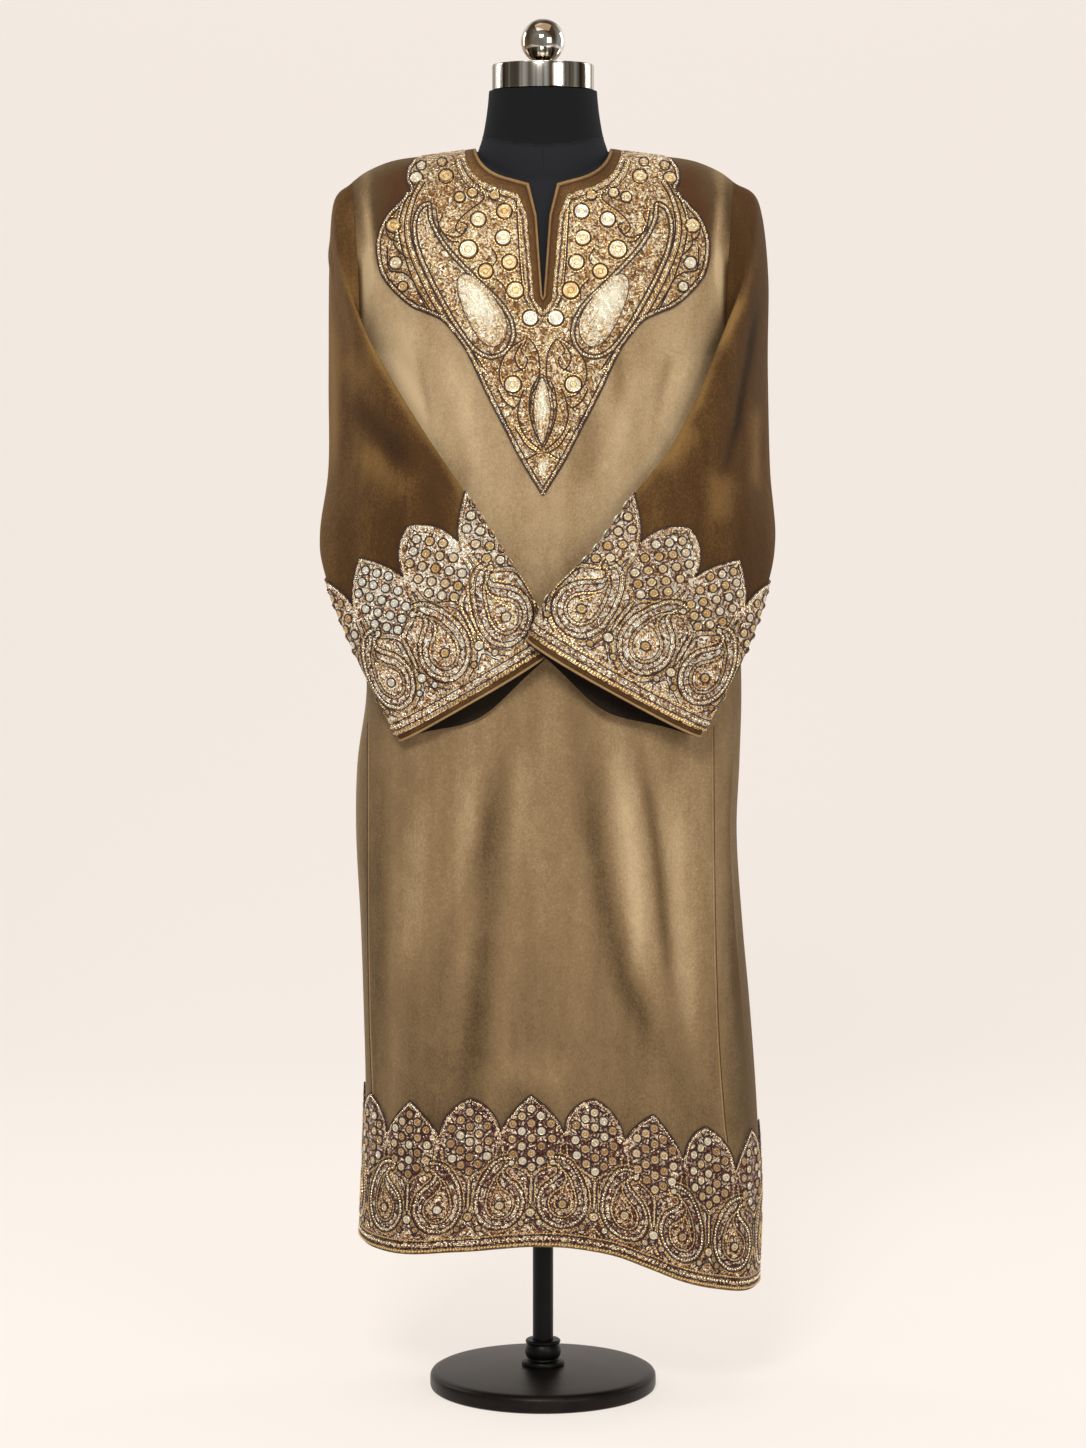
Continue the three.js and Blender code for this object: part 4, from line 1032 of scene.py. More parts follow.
def tubeMesh(lines, section):  # cords of one section, all in one mesh, from points, normals, width, closed
    section = np.array(section)
    sides = len(section)
    allPoints, faces, uvs, start = [], [], [], 0
    for points, normals, width, closed in lines:
        count = len(points)
        across = unit(np.cross(alongLine(points, closed), normals))
        ring = points[:, None] + across[:, None] * section[:, :1] * width
        ring = ring + normals[:, None] * section[:, 1:] * width
        allPoints.append(ring.reshape(-1, 3))
        parts = np.broadcast_arrays(lengthsAlong(points)[:, None] * mm, np.arange(sides) / sides)
        uvs.append(np.stack(parts, -1).reshape(-1, 2))
        spans = count if closed else count - 1
        a = np.arange(spans)[:, None]
        b = (a + 1) % count
        i = np.arange(sides)[None, :]
        j = (i + 1) % sides
        quads = np.stack([a * sides + i, a * sides + j, b * sides + j, b * sides + i], -1)
        faces.extend((quads.reshape(-1, 4) + start).tolist())
        if not closed:
            faces.append([start + i for i in reversed(range(sides))])
            faces.append([start + (count - 1) * sides + i for i in range(sides)])
        start += count * sides
    return np.concatenate(allPoints), faces, np.concatenate(uvs)


cordSection = [(-1, -0.5), (-0.5, 0.85), (0.5, 0.85), (1, -0.5)]  # low, with four sides


def tubes(pieces, surface, lift):
    lines = [(*layOn(surface, p["line"], lift), p["width"], p["closed"]) for p in pieces]
    return tubeMesh(lines, cordSection)


def frames(normals):  # two directions along the surface at each point
    side = unit(np.cross(np.array([0.0, 0.3, 1.0]), normals))
    return side, np.cross(normals, side)


beadSides = 5


def beadMesh(beads, surface, lift):
    points, normals = layOn(surface, [bead["at"] for bead in beads], lift)
    side, up = frames(normals)
    radius = np.array([bead["radius"] for bead in beads])[:, None, None]
    turns = np.linspace(0, 2 * math.pi, beadSides, endpoint=False)
    shape = [(0, 0, 1.0)]
    shape += [(0.72 * math.cos(t), 0.72 * math.sin(t), 0.72) for t in turns]
    shape += [(math.cos(t + 0.6), math.sin(t + 0.6), 0.0) for t in turns]
    shape = np.array(shape + [(0, 0, -0.5)])
    offsets = side[:, None] * shape[:, :1] + up[:, None] * shape[:, 1:2] + normals[:, None] * shape[:, 2:]
    allPoints = points[:, None] + offsets * radius
    faces = []
    low, foot = 1 + beadSides, 1 + 2 * beadSides
    for i in range(beadSides):
        j = (i + 1) % beadSides
        faces += [(0, 1 + i, 1 + j), (1 + i, low + i, 1 + j), (1 + j, low + i, low + j),
                  (low + i, foot, low + j)]
    starts = np.arange(len(beads))[:, None, None] * len(shape)
    return allPoints.reshape(-1, 3), (np.array(faces)[None] + starts).reshape(-1, 3).tolist()


discProfile = [(0.2, 0.72), (0.34, 0.46), (0.62, 1.0), (0.86, 0.72), (1.0, 0.0)]  # reach and rise


def discMesh(discs, surface, lift):  # coiled discs: low cones of rings that rise and fall
    points, normals = layOn(surface, [d["at"] for d in discs], lift)
    side, up = frames(normals)
    allPoints, faces, uvs, start = [], [], [], 0
    for d, centre, normal, a, b in zip(discs, points, normals, side, up):
        count = discSides(d["radius"])
        height = 0.2 * d["radius"] + 0.6
        turns = np.linspace(0, 2 * math.pi, count, endpoint=False)
        outward = np.cos(turns)[:, None] * a + np.sin(turns)[:, None] * b
        rings = [centre + normal * height * 0.9]
        around = [(0.5, 0)]
        for reach, rise in discProfile:
            rings.extend(centre + outward * reach * d["radius"] + normal * height * rise)
            around.extend((turn / (2 * math.pi), reach) for turn in turns)
        allPoints.append(np.array(rings))
        uvs.extend(around)
        for i in range(count):
            j = (i + 1) % count
            faces.append((start, start + 1 + i, start + 1 + j))
            for level in range(len(discProfile) - 1):
                low, high = start + 1 + level * count, start + 1 + (level + 1) * count
                faces.append((low + i, high + i, high + j, low + j))
        start += len(rings)
    return np.concatenate(allPoints), faces, uvs


# The yoke's own motifs, as places in the photo's pixels for the left half, which is then mirrored

photoScale = {"middlePixel": 542.5, "levelPixel": 724, "level": 806, "across": 1.155, "up": 1.15}


def yokePlace(px, py):  # a pixel of the photo to mm from the middle line and above the floor
    across = (px - photoScale["middlePixel"]) * photoScale["across"]
    return across, photoScale["level"] - photoScale["up"] * (py - photoScale["levelPixel"])


yokeMotifs = {
    "discs": [
        (504.3, 215.5, 8.6), (503.2, 241.9, 8.8), (509.5, 266.2, 8.6), (515.2, 294.1, 9.6),
        (530.0, 321.5, 8.8), (486.0, 275.1, 8.4), (468.7, 253.3, 10.4), (478.5, 223.5, 8.6),
        (460.0, 201.0, 6.2), (472.5, 196.5, 5.8), (494.5, 199.0, 5.8), (446.0, 179.5, 8.2),
        (415.9, 181.0, 7.6), (420.5, 167.5, 5.6), (441.5, 164.0, 5.4), (394.2, 228.5, 8.2),
        (396.6, 266.0, 7.2), (404.0, 289.5, 5.8), (512.8, 387.0, 9.4),
    ],
    "paisley": [(431, 206), (434, 224), (446, 246), (463, 266), (484, 287), (502, 305), (513, 323),
                (515, 341), (506, 357), (490, 362), (474, 354), (458, 334), (441, 305), (426, 276),
                (416, 251), (413, 228), (419, 210)],
    "satin": [(470, 278), (488, 294), (501, 311), (507, 328), (504, 343), (493, 350), (480, 342),
              (468, 322), (459, 298), (459, 282)],
    "lines": [
        [(425, 185), (415, 205), (411, 230), (416, 255), (432, 290), (452, 325), (470, 350), (485, 372)],
        [(420, 183), (410, 205), (405, 230), (410, 257), (426, 293), (444, 325), (462, 352), (481, 378)],
        [(415, 187), (405, 207), (399.5, 231), (405, 259), (419, 295), (436, 326), (456, 356)],
        [(409, 190), (400, 212), (395, 240), (396, 250), (408, 262)],
        [(385, 215), (388, 238), (398, 245), (405, 250)],
        [(388, 250), (390, 272), (404, 276), (413, 283), (423, 300), (434, 318)],
        [(388, 280), (398, 300), (412, 303), (422, 312)],
        [(436, 212), (440, 230), (450, 244), (460, 246)],
        [(478, 190), (484, 202), (470, 214), (461, 222), (456, 232), (463, 238), (468, 230), (462, 226)],
        [(443, 219), (439, 232), (450, 240), (461, 240), (466, 232)],
        [(516, 206), (518, 240), (520, 270), (524, 300), (531, 309)],
        [(492, 252), (497, 262), (493, 270)],
        [(497, 283), (505, 292), (505, 304)],
        [(524, 342), (510, 352), (501, 366), (500, 382), (508, 396), (519, 400)],
        [(526, 344), (521, 354), (527, 362), (524, 371), (514, 375)],
        [(522, 346), (515, 358), (517, 368), (523, 374)],
        [(529, 342), (536, 352), (539, 366), (538, 384), (532, 396)],
        [(541.5, 449), (533, 430), (529, 411), (531, 393), (535, 384)],
        [(540, 452), (525, 438), (518, 420), (520, 402), (524, 392)],
        [(537, 455), (523, 461), (511, 447), (507, 430), (498, 418), (490, 404)],
        [(498, 392), (505, 404), (514, 410), (519, 405)],
        [(500, 415), (507, 428), (511, 432)],
        [(515, 430), (526, 447), (536, 454)],
    ],
    "beadLines": [
        [(422.5, 184), (412.5, 205), (408, 230), (413, 256), (429, 291.5), (448, 325), (466, 351),
         (482, 374)],
        [(412, 189), (402.5, 208), (397.5, 232), (401, 252)],
        [(506, 206), (511, 240), (514, 268)],
        [(534, 345), (541.5, 360)],
    ],
    "petals": [
        [(528, 352), (524, 362), (518, 371), (522, 362)],
        [(541.5, 478), (537, 470), (541.5, 461), (546, 470)],
    ],
    "tulip": [(541.5, 380), (536, 392), (533, 412), (536, 432), (541.5, 446), (547, 432), (550, 412),
              (547, 392)],
    "neckRows": [(15.0, "beads", 1.5), (18.2, "plum", 0.85), (21.6, "beads", 1.5), (24.8, "plum", 0.7)],
}
yokeEdge = [(151, 1453), (157.5, 1441), (157, 1427), (153.5, 1417), (167, 1402), (181, 1386),
            (190, 1364), (191, 1344), (185, 1320), (170, 1300), (150, 1283), (134, 1276), (114, 1266),
            (96, 1245), (84, 1226), (66, 1187), (48, 1152), (24, 1106), (0.6, 1068)]


def insideYoke(line):  # a test for places within the yoke's outline
    outline = [(-151, 1500)] + [(-x, z) for x, z in yokeEdge] + yokeEdge[::-1] + [(151, 1500)]
    outline = np.array(outline, float)
    ends = np.roll(outline, -1, axis=0)
    x, z = line[:, :1], line[:, 1:]
    crosses = (outline[:, 1] > z) != (ends[:, 1] > z)
    run = ends[:, 1] - outline[:, 1]
    slant = (ends[:, 0] - outline[:, 0]) / np.where(run == 0, 1e-9, run)
    isOdd = np.sum(crosses & (x < outline[:, 0] + (z - outline[:, 1]) * slant), axis=1) % 2 == 1
    nearest = np.full(len(line), 1e9)
    for a, b in zip(outline[:-1], outline[1:]):
        t = np.clip((line - a) @ (b - a) / max((b - a) @ (b - a), 1e-9), 0, 1)
        nearest = np.minimum(nearest, np.linalg.norm(line - a - t[:, None] * (b - a), axis=1))
    return isOdd & (nearest > 1.2)


def mirrored(line):
    return np.array(line, float) * [-1, 1]


def yokeWork():
    work = newWork()

    def put(points, step=2.0, closed=False):
        return smoothLine([yokePlace(*p) for p in points], step, closed)

    for px, py, radius in yokeMotifs["discs"]:
        for side in (-1, 1):
            x, z = yokePlace(px, py)
            disc(work, -side * x, z, radius)
            if radius > 8:
                cord(work, "gold", circle(-side * x, z, radius + 2.3, 20), 0.8, closed=True)
    lines = [put(line) for line in yokeMotifs["lines"]]
    beadLines = [put(line) for line in yokeMotifs["beadLines"]]
    paisley = put(yokeMotifs["paisley"], closed=True)
    satin = put(yokeMotifs["satin"], closed=True)
    for turn in (np.array, mirrored):
        for line in lines:
            for run in runsInside(turn(line), insideYoke):
                cord(work, "plum", run, 1.1)
            for run in runsInside(turn(shifted(line, 1.7)), insideYoke):
                cord(work, "gold", run, 0.75)
        for line in beadLines:
            for run in runsInside(turn(line), insideYoke):
                beadRow(work, run, 1.5)
        for distance in (0, 5.0):
            cord(work, "plum", turn(shifted(paisley, -distance, True)), 1.15, closed=True)
        beadRow(work, turn(shifted(paisley, -2.5, True)), 1.6, closed=True)
        cord(work, "plum", turn(satin), 0.75, closed=True)
        work["satin"].append({"outline": turn(satin), "rise": 2.2})
        for petal in yokeMotifs["petals"]:
            work["satin"].append({"outline": turn(put(petal, closed=True)), "rise": 1.2})
    tulip = put(yokeMotifs["tulip"], closed=True)
    cord(work, "plum", tulip, 0.9, closed=True)
    cord(work, "plum", shifted(tulip, -3.4, True), 0.8, closed=True)
    work["satin"].append({"outline": tulip, "rise": 2.0})
    edge = smoothLine(yokeEdge, 1.8)
    for turn in (np.array, mirrored):
        cord(work, "plum", turn(edge), 1.2)
        beadRow(work, turn(shifted(edge, -2.6)), 1.3)
        cord(work, "plum", turn(shifted(edge, -5.0)), 0.95)
    for grow, kind, size in yokeMotifs["neckRows"]:
        line = smoothLine(neckPath(grow, "front")[3:-3:3], 1.8)
        if kind == "beads":
            beadRow(work, line, size)
        else:
            cord(work, kind, line, size)
    return work


padProfile = [(1.0, 0.0), (0.94, 0.5), (0.82, 0.78), (0.62, 0.94), (0.4, 1.0), (0.2, 1.0)]  # reach, rise


def satinMesh(pads, surface, lift):  # smooth raised pads of laid thread, in shrinking rings
    allPoints, faces, uvs, paintedHighlight, start = [], [], [], [], 0
    for pad in pads:
        outline = pad["outline"]
        centre = outline.mean(axis=0)
        spread = outline - centre
        longWay = np.linalg.svd(spread, full_matrices=False)[2][0]
        count = len(outline)
        rings = []
        for reach, rise in padProfile:
            points, normals = layOn(surface, centre + spread * reach, lift)
            rings.append(points + normals * pad["rise"] * rise)
            flat = spread * reach
            along = flat @ longWay
            uvs.extend(np.stack([along, flat @ np.array([-longWay[1], longWay[0]])], 1) * mm)
            # the painted highlight, strongest at the crown and towards one end of the pad
            paintedHighlight.extend((1 - reach) * (0.6 + 0.55 * np.sign(longWay[1]) * along / np.ptp(along)))
        points, normals = layOn(surface, centre[None, :], lift)
        rings.append(points + normals * pad["rise"])
        uvs.append((0, 0))
        paintedHighlight.append(1.0)
        allPoints.append(np.concatenate(rings))
        x, z = outline.T
        isAnticlockwise = np.sum(x * np.roll(z, -1) - np.roll(x, -1) * z) > 0
        for level in range(len(padProfile) - 1):
            for i in range(count):
                j = (i + 1) % count
                quad = [start + level * count + i, start + level * count + j,
                        start + (level + 1) * count + j, start + (level + 1) * count + i]
                faces.append(quad if isAnticlockwise else quad[::-1])
        hub, last = start + len(padProfile) * count, start + (len(padProfile) - 1) * count
        for i in range(count):
            fan = [last + i, last + (i + 1) % count, hub]
            faces.append(fan if isAnticlockwise else fan[::-1])
        start += len(padProfile) * count + 1
    return (np.concatenate(allPoints), faces, uvs), paintedHighlight


# Metal thread in its kinds

def tilla(name, stops, lines, cell, rise, metal=0.5):  # a grainy ground of metal thread, whose near-white cells at the top of its scale are painted glints
    material = newMaterial(name, **{"Metallic": metal, "Roughness": 0.36})
    place = objectPlace(material)
    soft = addNode(material, "TexNoise", {"Vector": place, "Scale": 90.0, "Detail": 3.0})
    bent = addNode(material, "VectorMath", {0: soft.outputs["Color"], 1: (0.012, 0.012, 0.012), 2: place},
                   operation="MULTIPLY_ADD").outputs[0]
    cells = addNode(material, "TexVoronoi", {"Vector": bent, "Scale": cell, "Randomness": 1.0})
    grain = addNode(material, "SeparateColor", {"Color": cells.outputs["Color"]}).outputs["Red"]
    large = addNode(material, "TexVoronoi", {"Vector": bent, "Scale": cell * 0.4, "Randomness": 1.0})
    patch = addNode(material, "SeparateColor", {"Color": large.outputs["Color"]}).outputs["Green"]
    coil = addNode(material, "TexWave", {"Vector": bent, "Scale": 250.0, "Distortion": 2.4,
                                         "Detail": 1.0}, bands_direction="DIAGONAL").outputs["Fac"]
    tone = add(material, grain, patch, 0.3, -0.15)
    tone = add(material, tone, noise(material, place, 16, 3), 0.5, -0.25)
    tone = add(material, tone, coil, 0.3, -0.15)
    wavy = addNode(material, "VectorMath", {0: soft.outputs["Color"], 1: (0.03, 0.03, 0.03), 2: place},
                   operation="MULTIPLY_ADD").outputs[0]
    scales = addNode(material, "TexVoronoi", {"Vector": wavy, "Scale": 120.0},
                     feature="DISTANCE_TO_EDGE").outputs["Distance"]
    edge = addNode(material, "MapRange", {0: scales, 1: 0.03, 2: 0.11, 3: -lines, 4: 0.0}).outputs[0]
    tone = add(material, tone, edge)
    tone = addNode(material, "Math", {0: tone, 1: 1.5, 2: rise}, operation="MULTIPLY_ADD").outputs[0]
    # the scale's top stop paints glints
    feed(material, "Base Color", ramp(material, tone, stops))
    rough = addNode(material, "MapRange", {0: grain, 3: 0.5, 4: 0.22}).outputs[0]
    feed(material, "Roughness", rough)
    height = add(material, cells.outputs["Distance"], coil, 0.9)
    height = add(material, height, large.outputs["Distance"], 0.9)
    feed(material, "Normal", bump(material, height, 0.0011, 0.75))
    return material


def twisted(name, dark, light, metal, rough, pitch=520):  # a cord, with its twist across the length
    material = newMaterial(name, **{"Metallic": metal, "Roughness": rough})
    uv = addNode(material, "TexCoord").outputs["UV"]
    turned = addNode(material, "Mapping", {"Vector": uv, "Scale": (1, 0.0024, 1)}).outputs[0]
    twist = addNode(material, "TexWave", {"Vector": turned, "Scale": pitch * 0.32, "Distortion": 0.0},
                    bands_direction="DIAGONAL").outputs["Fac"]
    uneven = noise(material, objectPlace(material), 420, 2)
    tone = add(material, twist, uneven, 0.8, -0.4)
    feed(material, "Base Color", ramp(material, tone, [(0.05, dark), (0.8, light)]))
    feed(material, "Normal", bump(material, twist, 0.0005, 0.7))
    return material


def coiled(name, dark, middle, light, bright):  # thread laid round and round, with painted light: a bright centre and ring and a dark edge on each disc, and a painted shine that is stronger on some discs
    material = newMaterial(name, **{"Metallic": 0.65, "Roughness": 0.28})
    uv = addNode(material, "TexCoord").outputs["UV"]
    reach = addNode(material, "SeparateXYZ", {"Vector": uv}).outputs["Y"]
    rings = addNode(material, "Math", {0: reach, 1: 30.0}, operation="MULTIPLY").outputs[0]
    rings = addNode(material, "Math", {0: rings}, operation="SINE").outputs[0]
    paintedShine = addNode(material, "Attribute", attribute_name="paintedShine").outputs["Fac"]
    # painted highlight and painted shade by the reach from the disc's centre
    paintedDiscLight = ramp(material, reach, [(0.0, (0.9,) * 3), (0.2, (0.85,) * 3), (0.36, (0.15,) * 3),
                                    (0.6, (1.0,) * 3), (0.86, (0.55,) * 3), (1.0, (0.0,) * 3)])
    tone = add(material, paintedShine, paintedDiscLight, 0.55, -0.3)
    tone = add(material, tone, rings, 0.08)
    tone = add(material, tone, noise(material, objectPlace(material), 700, 2, 0.7), 0.8, -0.4)
    stops = [(0.0, dark), (0.5, middle), (0.8, light), (1.0, bright)]
    feed(material, "Base Color", ramp(material, tone, stops))
    feed(material, "Normal", bump(material, rings, 0.0005, 0.8))
    return material


def laid(name, stops, light):  # raised pads of grainy thread, with a painted highlight on their crown
    material = tilla(name, stops, lines=0.0, cell=620, rise=-0.25, metal=0.4)
    shader = material.node_tree.nodes["Principled BSDF"]
    plain = shader.inputs["Base Color"].links[0].from_socket
    paintedHighlight = addNode(material, "Attribute", attribute_name="paintedHighlight").outputs["Fac"]
    uv = addNode(material, "TexCoord").outputs["UV"]
    stretched = addNode(material, "Mapping", {"Vector": uv, "Scale": (34, 420, 1)}).outputs[0]
    threads = noise(material, stretched, 1, 3, 0.7)
    paintedHighlightTone = add(material, paintedHighlight, threads, 1.3, -0.65)
    share = addNode(material, "MapRange", {0: paintedHighlightTone, 1: 0.1, 2: 0.44}).outputs[0]
    mixed = addNode(material, "Mix", {0: share, 6: plain, 7: (*light, 1)}, data_type="RGBA")
    feed(material, "Base Color", mixed.outputs[2])  # 6 and 7 are its colours, and 2 the mixed one
    return material


def bead(name, dark, light):
    material = newMaterial(name, **{"Metallic": 0.8, "Roughness": 0.2})
    tone = noise(material, objectPlace(material), 260, 2, 0.8)
    feed(material, "Base Color", ramp(material, tone, [(0.32, dark), (0.62, light)]))
    return material


materials.update({
    "yokeGround": tilla("yokeGround", [(0.0, srgb(110, 70, 36)), (0.4, srgb(184, 138, 78)),
                                       (0.7, srgb(220, 180, 116)), (0.9, srgb(255, 246, 218))],
                        lines=0.16, cell=520, rise=-0.24),
    "cuffGround": tilla("cuffGround", [(0.0, srgb(92, 54, 36)), (0.4, srgb(174, 128, 82)),
                                       (0.66, srgb(218, 180, 128)), (0.86, srgb(255, 252, 236))],
                        lines=0.2, cell=500, rise=-0.09),
    "hemGround": tilla("hemGround", [(0.0, srgb(62, 28, 26)), (0.4, srgb(129, 79, 59)),
                                     (0.68, srgb(183, 133, 95)), (0.88, srgb(255, 244, 214))],
                       lines=0.3, cell=480, rise=-0.24),
    "plumCord": twisted("plumCord", srgb(22, 8, 14), srgb(54, 26, 30), 0.1, 0.55),
    "goldCord": twisted("goldCord", srgb(150, 108, 56), srgb(236, 204, 140), 0.85, 0.3),
    "goldBead": bead("goldBead", srgb(196, 156, 96), srgb(255, 246, 214)),
    "goldCoil": coiled("goldCoil", srgb(104, 66, 38), srgb(216, 168, 98), srgb(248, 220, 160),
                       srgb(255, 252, 236)),
    "hemCoil": coiled("hemCoil", srgb(84, 46, 34), srgb(186, 142, 94), srgb(240, 210, 160),
                      srgb(255, 250, 230)),
    # its last colour is the painted highlight on the pads' crowns
    "paleSatin": laid("paleSatin", [(0.0, srgb(156, 114, 64)), (1 / 3, srgb(212, 172, 112)),
                                    (2 / 3, srgb(242, 218, 166)), (1.0, srgb(255, 252, 238))],
                      srgb(255, 248, 222)),
})


# Embroidered bands: a ground with its leafy edge, and the threads on it

hemStyle = {"slot": "hem_tilla", "ground": "hemGround", "coil": "hemCoil", "paintedShine": (0.4, 0.95)}
cuffStyle = {"slot": "cuff_tilla", "ground": "cuffGround", "coil": "goldCoil", "paintedShine": (0.45, 0.95)}
bands = {  # bright holds the stretches along a band where the discs get the strongest painted shine
    "hemFront": {**hemStyle, "node": "hem_border_front", "leaves": 7, "bright": []},
    "hemBack": {**hemStyle, "node": "hem_border_back", "leaves": 12, "bright": []},
    "cuffLeft": {**cuffStyle, "node": "cuff_embroidery_left", "leaves": 6, "bright": [(218, 286)]},
    "cuffRight": {**cuffStyle, "node": "cuff_embroidery_right", "leaves": 6, "bright": [(76, 116)]},
    "yoke": {"node": "yoke_embroidery", "slot": "yoke_tilla", "ground": "yokeGround", "coil": "goldCoil",
             "paintedShine": (0.55, 1.0), "bright": [(-17, -12), (12, 17)]},
}
brightPaintedShine = (1.05, 1.5)
garmentPieces = []


def flatPlace(x, height, isLine=False):
    return np.stack([x, height], 1) if isLine else (x, height)


def cuffPlace(x, height, isLine=False):  # the hem's drawing, a little larger and above a plain strip
    along = (x + unitMotif["period"] / 2) * cuffField["leafWidth"] / unitMotif["period"]
    return flatPlace(along, cuffField["foot"] + cuffField["growth"] * height, isLine)


def outwardFaces(points, normals, rows, columns, isTube):
    corner = points[0]
    turn = np.cross(points[columns] - corner, points[1] - corner)
    return gridFaces(rows, columns, isTube, flip=bool(turn @ normals[0] < 0))


def groundPiece(name, points, normals, rows, columns, isTube, band):
    faces = outwardFaces(points, normals, rows, columns, isTube)
    piece = newPiece(name + "Ground", points, faces)
    thicken(piece, bandGround["thickness"])
    garmentPieces.append(finishPiece(piece, band["ground"], band["node"], degrees=40))


def threadPiece(name, mesh, material):
    garmentPieces.append(finishPiece(newPiece(name, *mesh), material))
    return garmentPieces[-1]


def threadPieces(name, work, surface, band):
    slot, top = band["slot"], bandGround["top"]
    threadPiece(name + "Plum", tubes(work["plum"], surface, top), "plumCord")
    threadPiece(name + "Gold", tubes(work["gold"], surface, top), "goldCord")
    threadPiece(name + "Beads", beadMesh(work["beads"], surface, top), "goldBead")
    coils = threadPiece(name + "Discs", discMesh(work["discs"], surface, top), band["coil"])
    paintedShine = []
    for d in work["discs"]:
        isBright = any(low < d["at"][0] < high for low, high in band["bright"])
        level = randoms.uniform(*(brightPaintedShine if isBright else band["paintedShine"]))
        paintedShine.extend([level] * (1 + len(discProfile) * discSides(d["radius"])))
    paint(coils, "paintedShine", paintedShine)
    if work["satin"]:
        mesh, paintedHighlight = satinMesh(work["satin"], surface, top)
        paint(threadPiece(name + "Satin", mesh, "paleSatin"), "paintedHighlight", paintedHighlight)


bandMesh = {"columnsPerLeaf": 24, "rows": 20}


def makeBand(name, surface, place, closed):
    band, period = bands[name], unitMotif["period"]
    leaves = band["leaves"]
    perLeaf, rows = bandMesh["columnsPerLeaf"], bandMesh["rows"]
    columns = perLeaf * leaves + (0 if closed else 1)
    x = np.arange(columns) / perLeaf * period
    heights = np.linspace(0, 1, rows)[:, None] * leafTop(x / period)[None]
    flat = place(np.tile(x, rows), heights.ravel(), True)
    points, normals = layOn(surface, flat, bandGround["top"])
    groundPiece(name, points, normals, rows, columns, closed, band)
    work = newWork()
    isInside = inBand(band, closed)
    for k in range(leaves):
        paisleyUnit(work, k, place)
    for k in range(leaves if closed else leaves + 1):
        leafUnit(work, k, place, isInside)
    edgeRows(work, leaves * period, place, closed)
    leafEdge(work, leaves * period, place, closed)
    threadPieces(name, work, surface, band)
    print(name, "threads:", {kind: len(items) for kind, items in work.items()})


yokeMesh = {"halfColumns": 110, "rows": 34}


def makeYoke():
    band, inner = bands["yoke"], neckPath(12.5, "front")
    top = np.array([[-141, float(lookup(garment["shoulderLine"], 141)) - 0.6]])
    outer = np.concatenate([top, mirrored(yokeEdge)])
    outer[-1] = (0, 1067)

    def across(path):  # even places along the left half, and the same mirrored
        lengths = lengthsAlong(path)
        half = readAlong(lengths, path, np.linspace(0, 1, yokeMesh["halfColumns"]) * lengths[-1])
        return np.concatenate([half, mirrored(half[-2::-1])])

    near, far = across(inner[: len(inner) // 2 + 1]), across(outer)
    shares = np.linspace(0, 1, yokeMesh["rows"])[:, None, None]
    flat = (near[None] * (1 - shares) + far[None] * shares).reshape(-1, 2)
    points, normals = layOn("panel", flat, bandGround["top"])
    groundPiece("yoke", points, normals, yokeMesh["rows"], len(near), False, band)
    work = yokeWork()
    threadPieces("yoke", work, "panel", band)
    print("yoke threads:", {kind: len(items) for kind, items in work.items()})


randoms = np.random.default_rng(11)
makeBand("hemFront", hemSurface("front", bands["hemFront"]["leaves"]), flatPlace, False)
makeBand("hemBack", hemSurface("back", bands["hemBack"]["leaves"]), flatPlace, False)
makeBand("cuffLeft", cuffSurface(sleeves["left"]), cuffPlace, True)
makeBand("cuffRight", cuffSurface(sleeves["right"]), cuffPlace, True)
makeYoke()
print("embroidery ready")


# The neck's binding: a strip of brown velvet folded over the edge

bindingRows = [  # out from the neck's edge, off the cloth, and how light the velvet is: a painted highlight on the rolled lip, painted shade in the crease and under the fold
    (12.2, 0.1, 0.0), (12.0, 0.8, 0.0), (11.2, 1.15, 0.0), (8, 1.4, -0.05), (4.2, 1.5, -0.15),
    (3.6, 1.25, -0.5), (3.0, 1.55, -0.25), (1.6, 1.85, 0.25), (0.2, 1.75, 0.4), (-0.8, 1.1, 0.2),
    (-1.1, 0.1, -0.1), (-1.0, -1.2, -0.3), (-0.4, -1.95, -0.4), (1.2, -2.0, -0.4),
]


def makeBinding(face):
    isFront = face == "front"
    points = []
    for grow, lift, _ in bindingRows:
        x, z = neckPath(grow, face, 2).T
        place, normal = panelPoint(x, z, isFront)
        points.append(place + normal * lift)
    columns = len(points[0])
    points = np.array(points)
    away = -1 if isFront else 1
    onRidge = points[:, [0, -1], 1] * away < garment["seamGap"] / 2
    points[:, [0, -1], 1] = np.where(onRidge, away * garment["seamGap"] / 2, points[:, [0, -1], 1])
    row, column = 3, 20  # a place on the flat of the strip, for which way it faces
    here = points[row, column]
    turn = np.cross(points[row + 1, column] - here, points[row, column + 1] - here)
    isInward = bool(turn @ panelPoint(here[0], here[2], isFront)[1] < 0)
    faces = gridFaces(len(points), columns, flip=isInward)
    piece = newPiece(face + "Binding", points.reshape(-1, 3), faces)
    paint(piece, "napAndPaintedLight", np.repeat([tone for _, _, tone in bindingRows], columns))
    thicken(piece, 0.5)
    return finishPiece(piece, "bindingVelvet", "neck_band_" + face)


frontBinding, backBinding = makeBinding("front"), makeBinding("back")
print("bindings ready")


# Turned edges and seam welts of velvet, lighter for a painted highlight on their raised edge, with thin
# dark lines of painted shadow beside the welts

def cuffTurn(name, sleeve):
    x = np.linspace(0, cuffField["leaves"] * cuffField["leafWidth"], 240, endpoint=False)
    height = 1.3 + 0.25 * np.sin(x / 29)
    lines = [{"line": np.stack([x, height], 1), "width": 1.5, "closed": True}]
    threadPiece(name + "CuffTurn", tubes(lines, cuffSurface(sleeve), 0), "paintedHighlightVelvet")


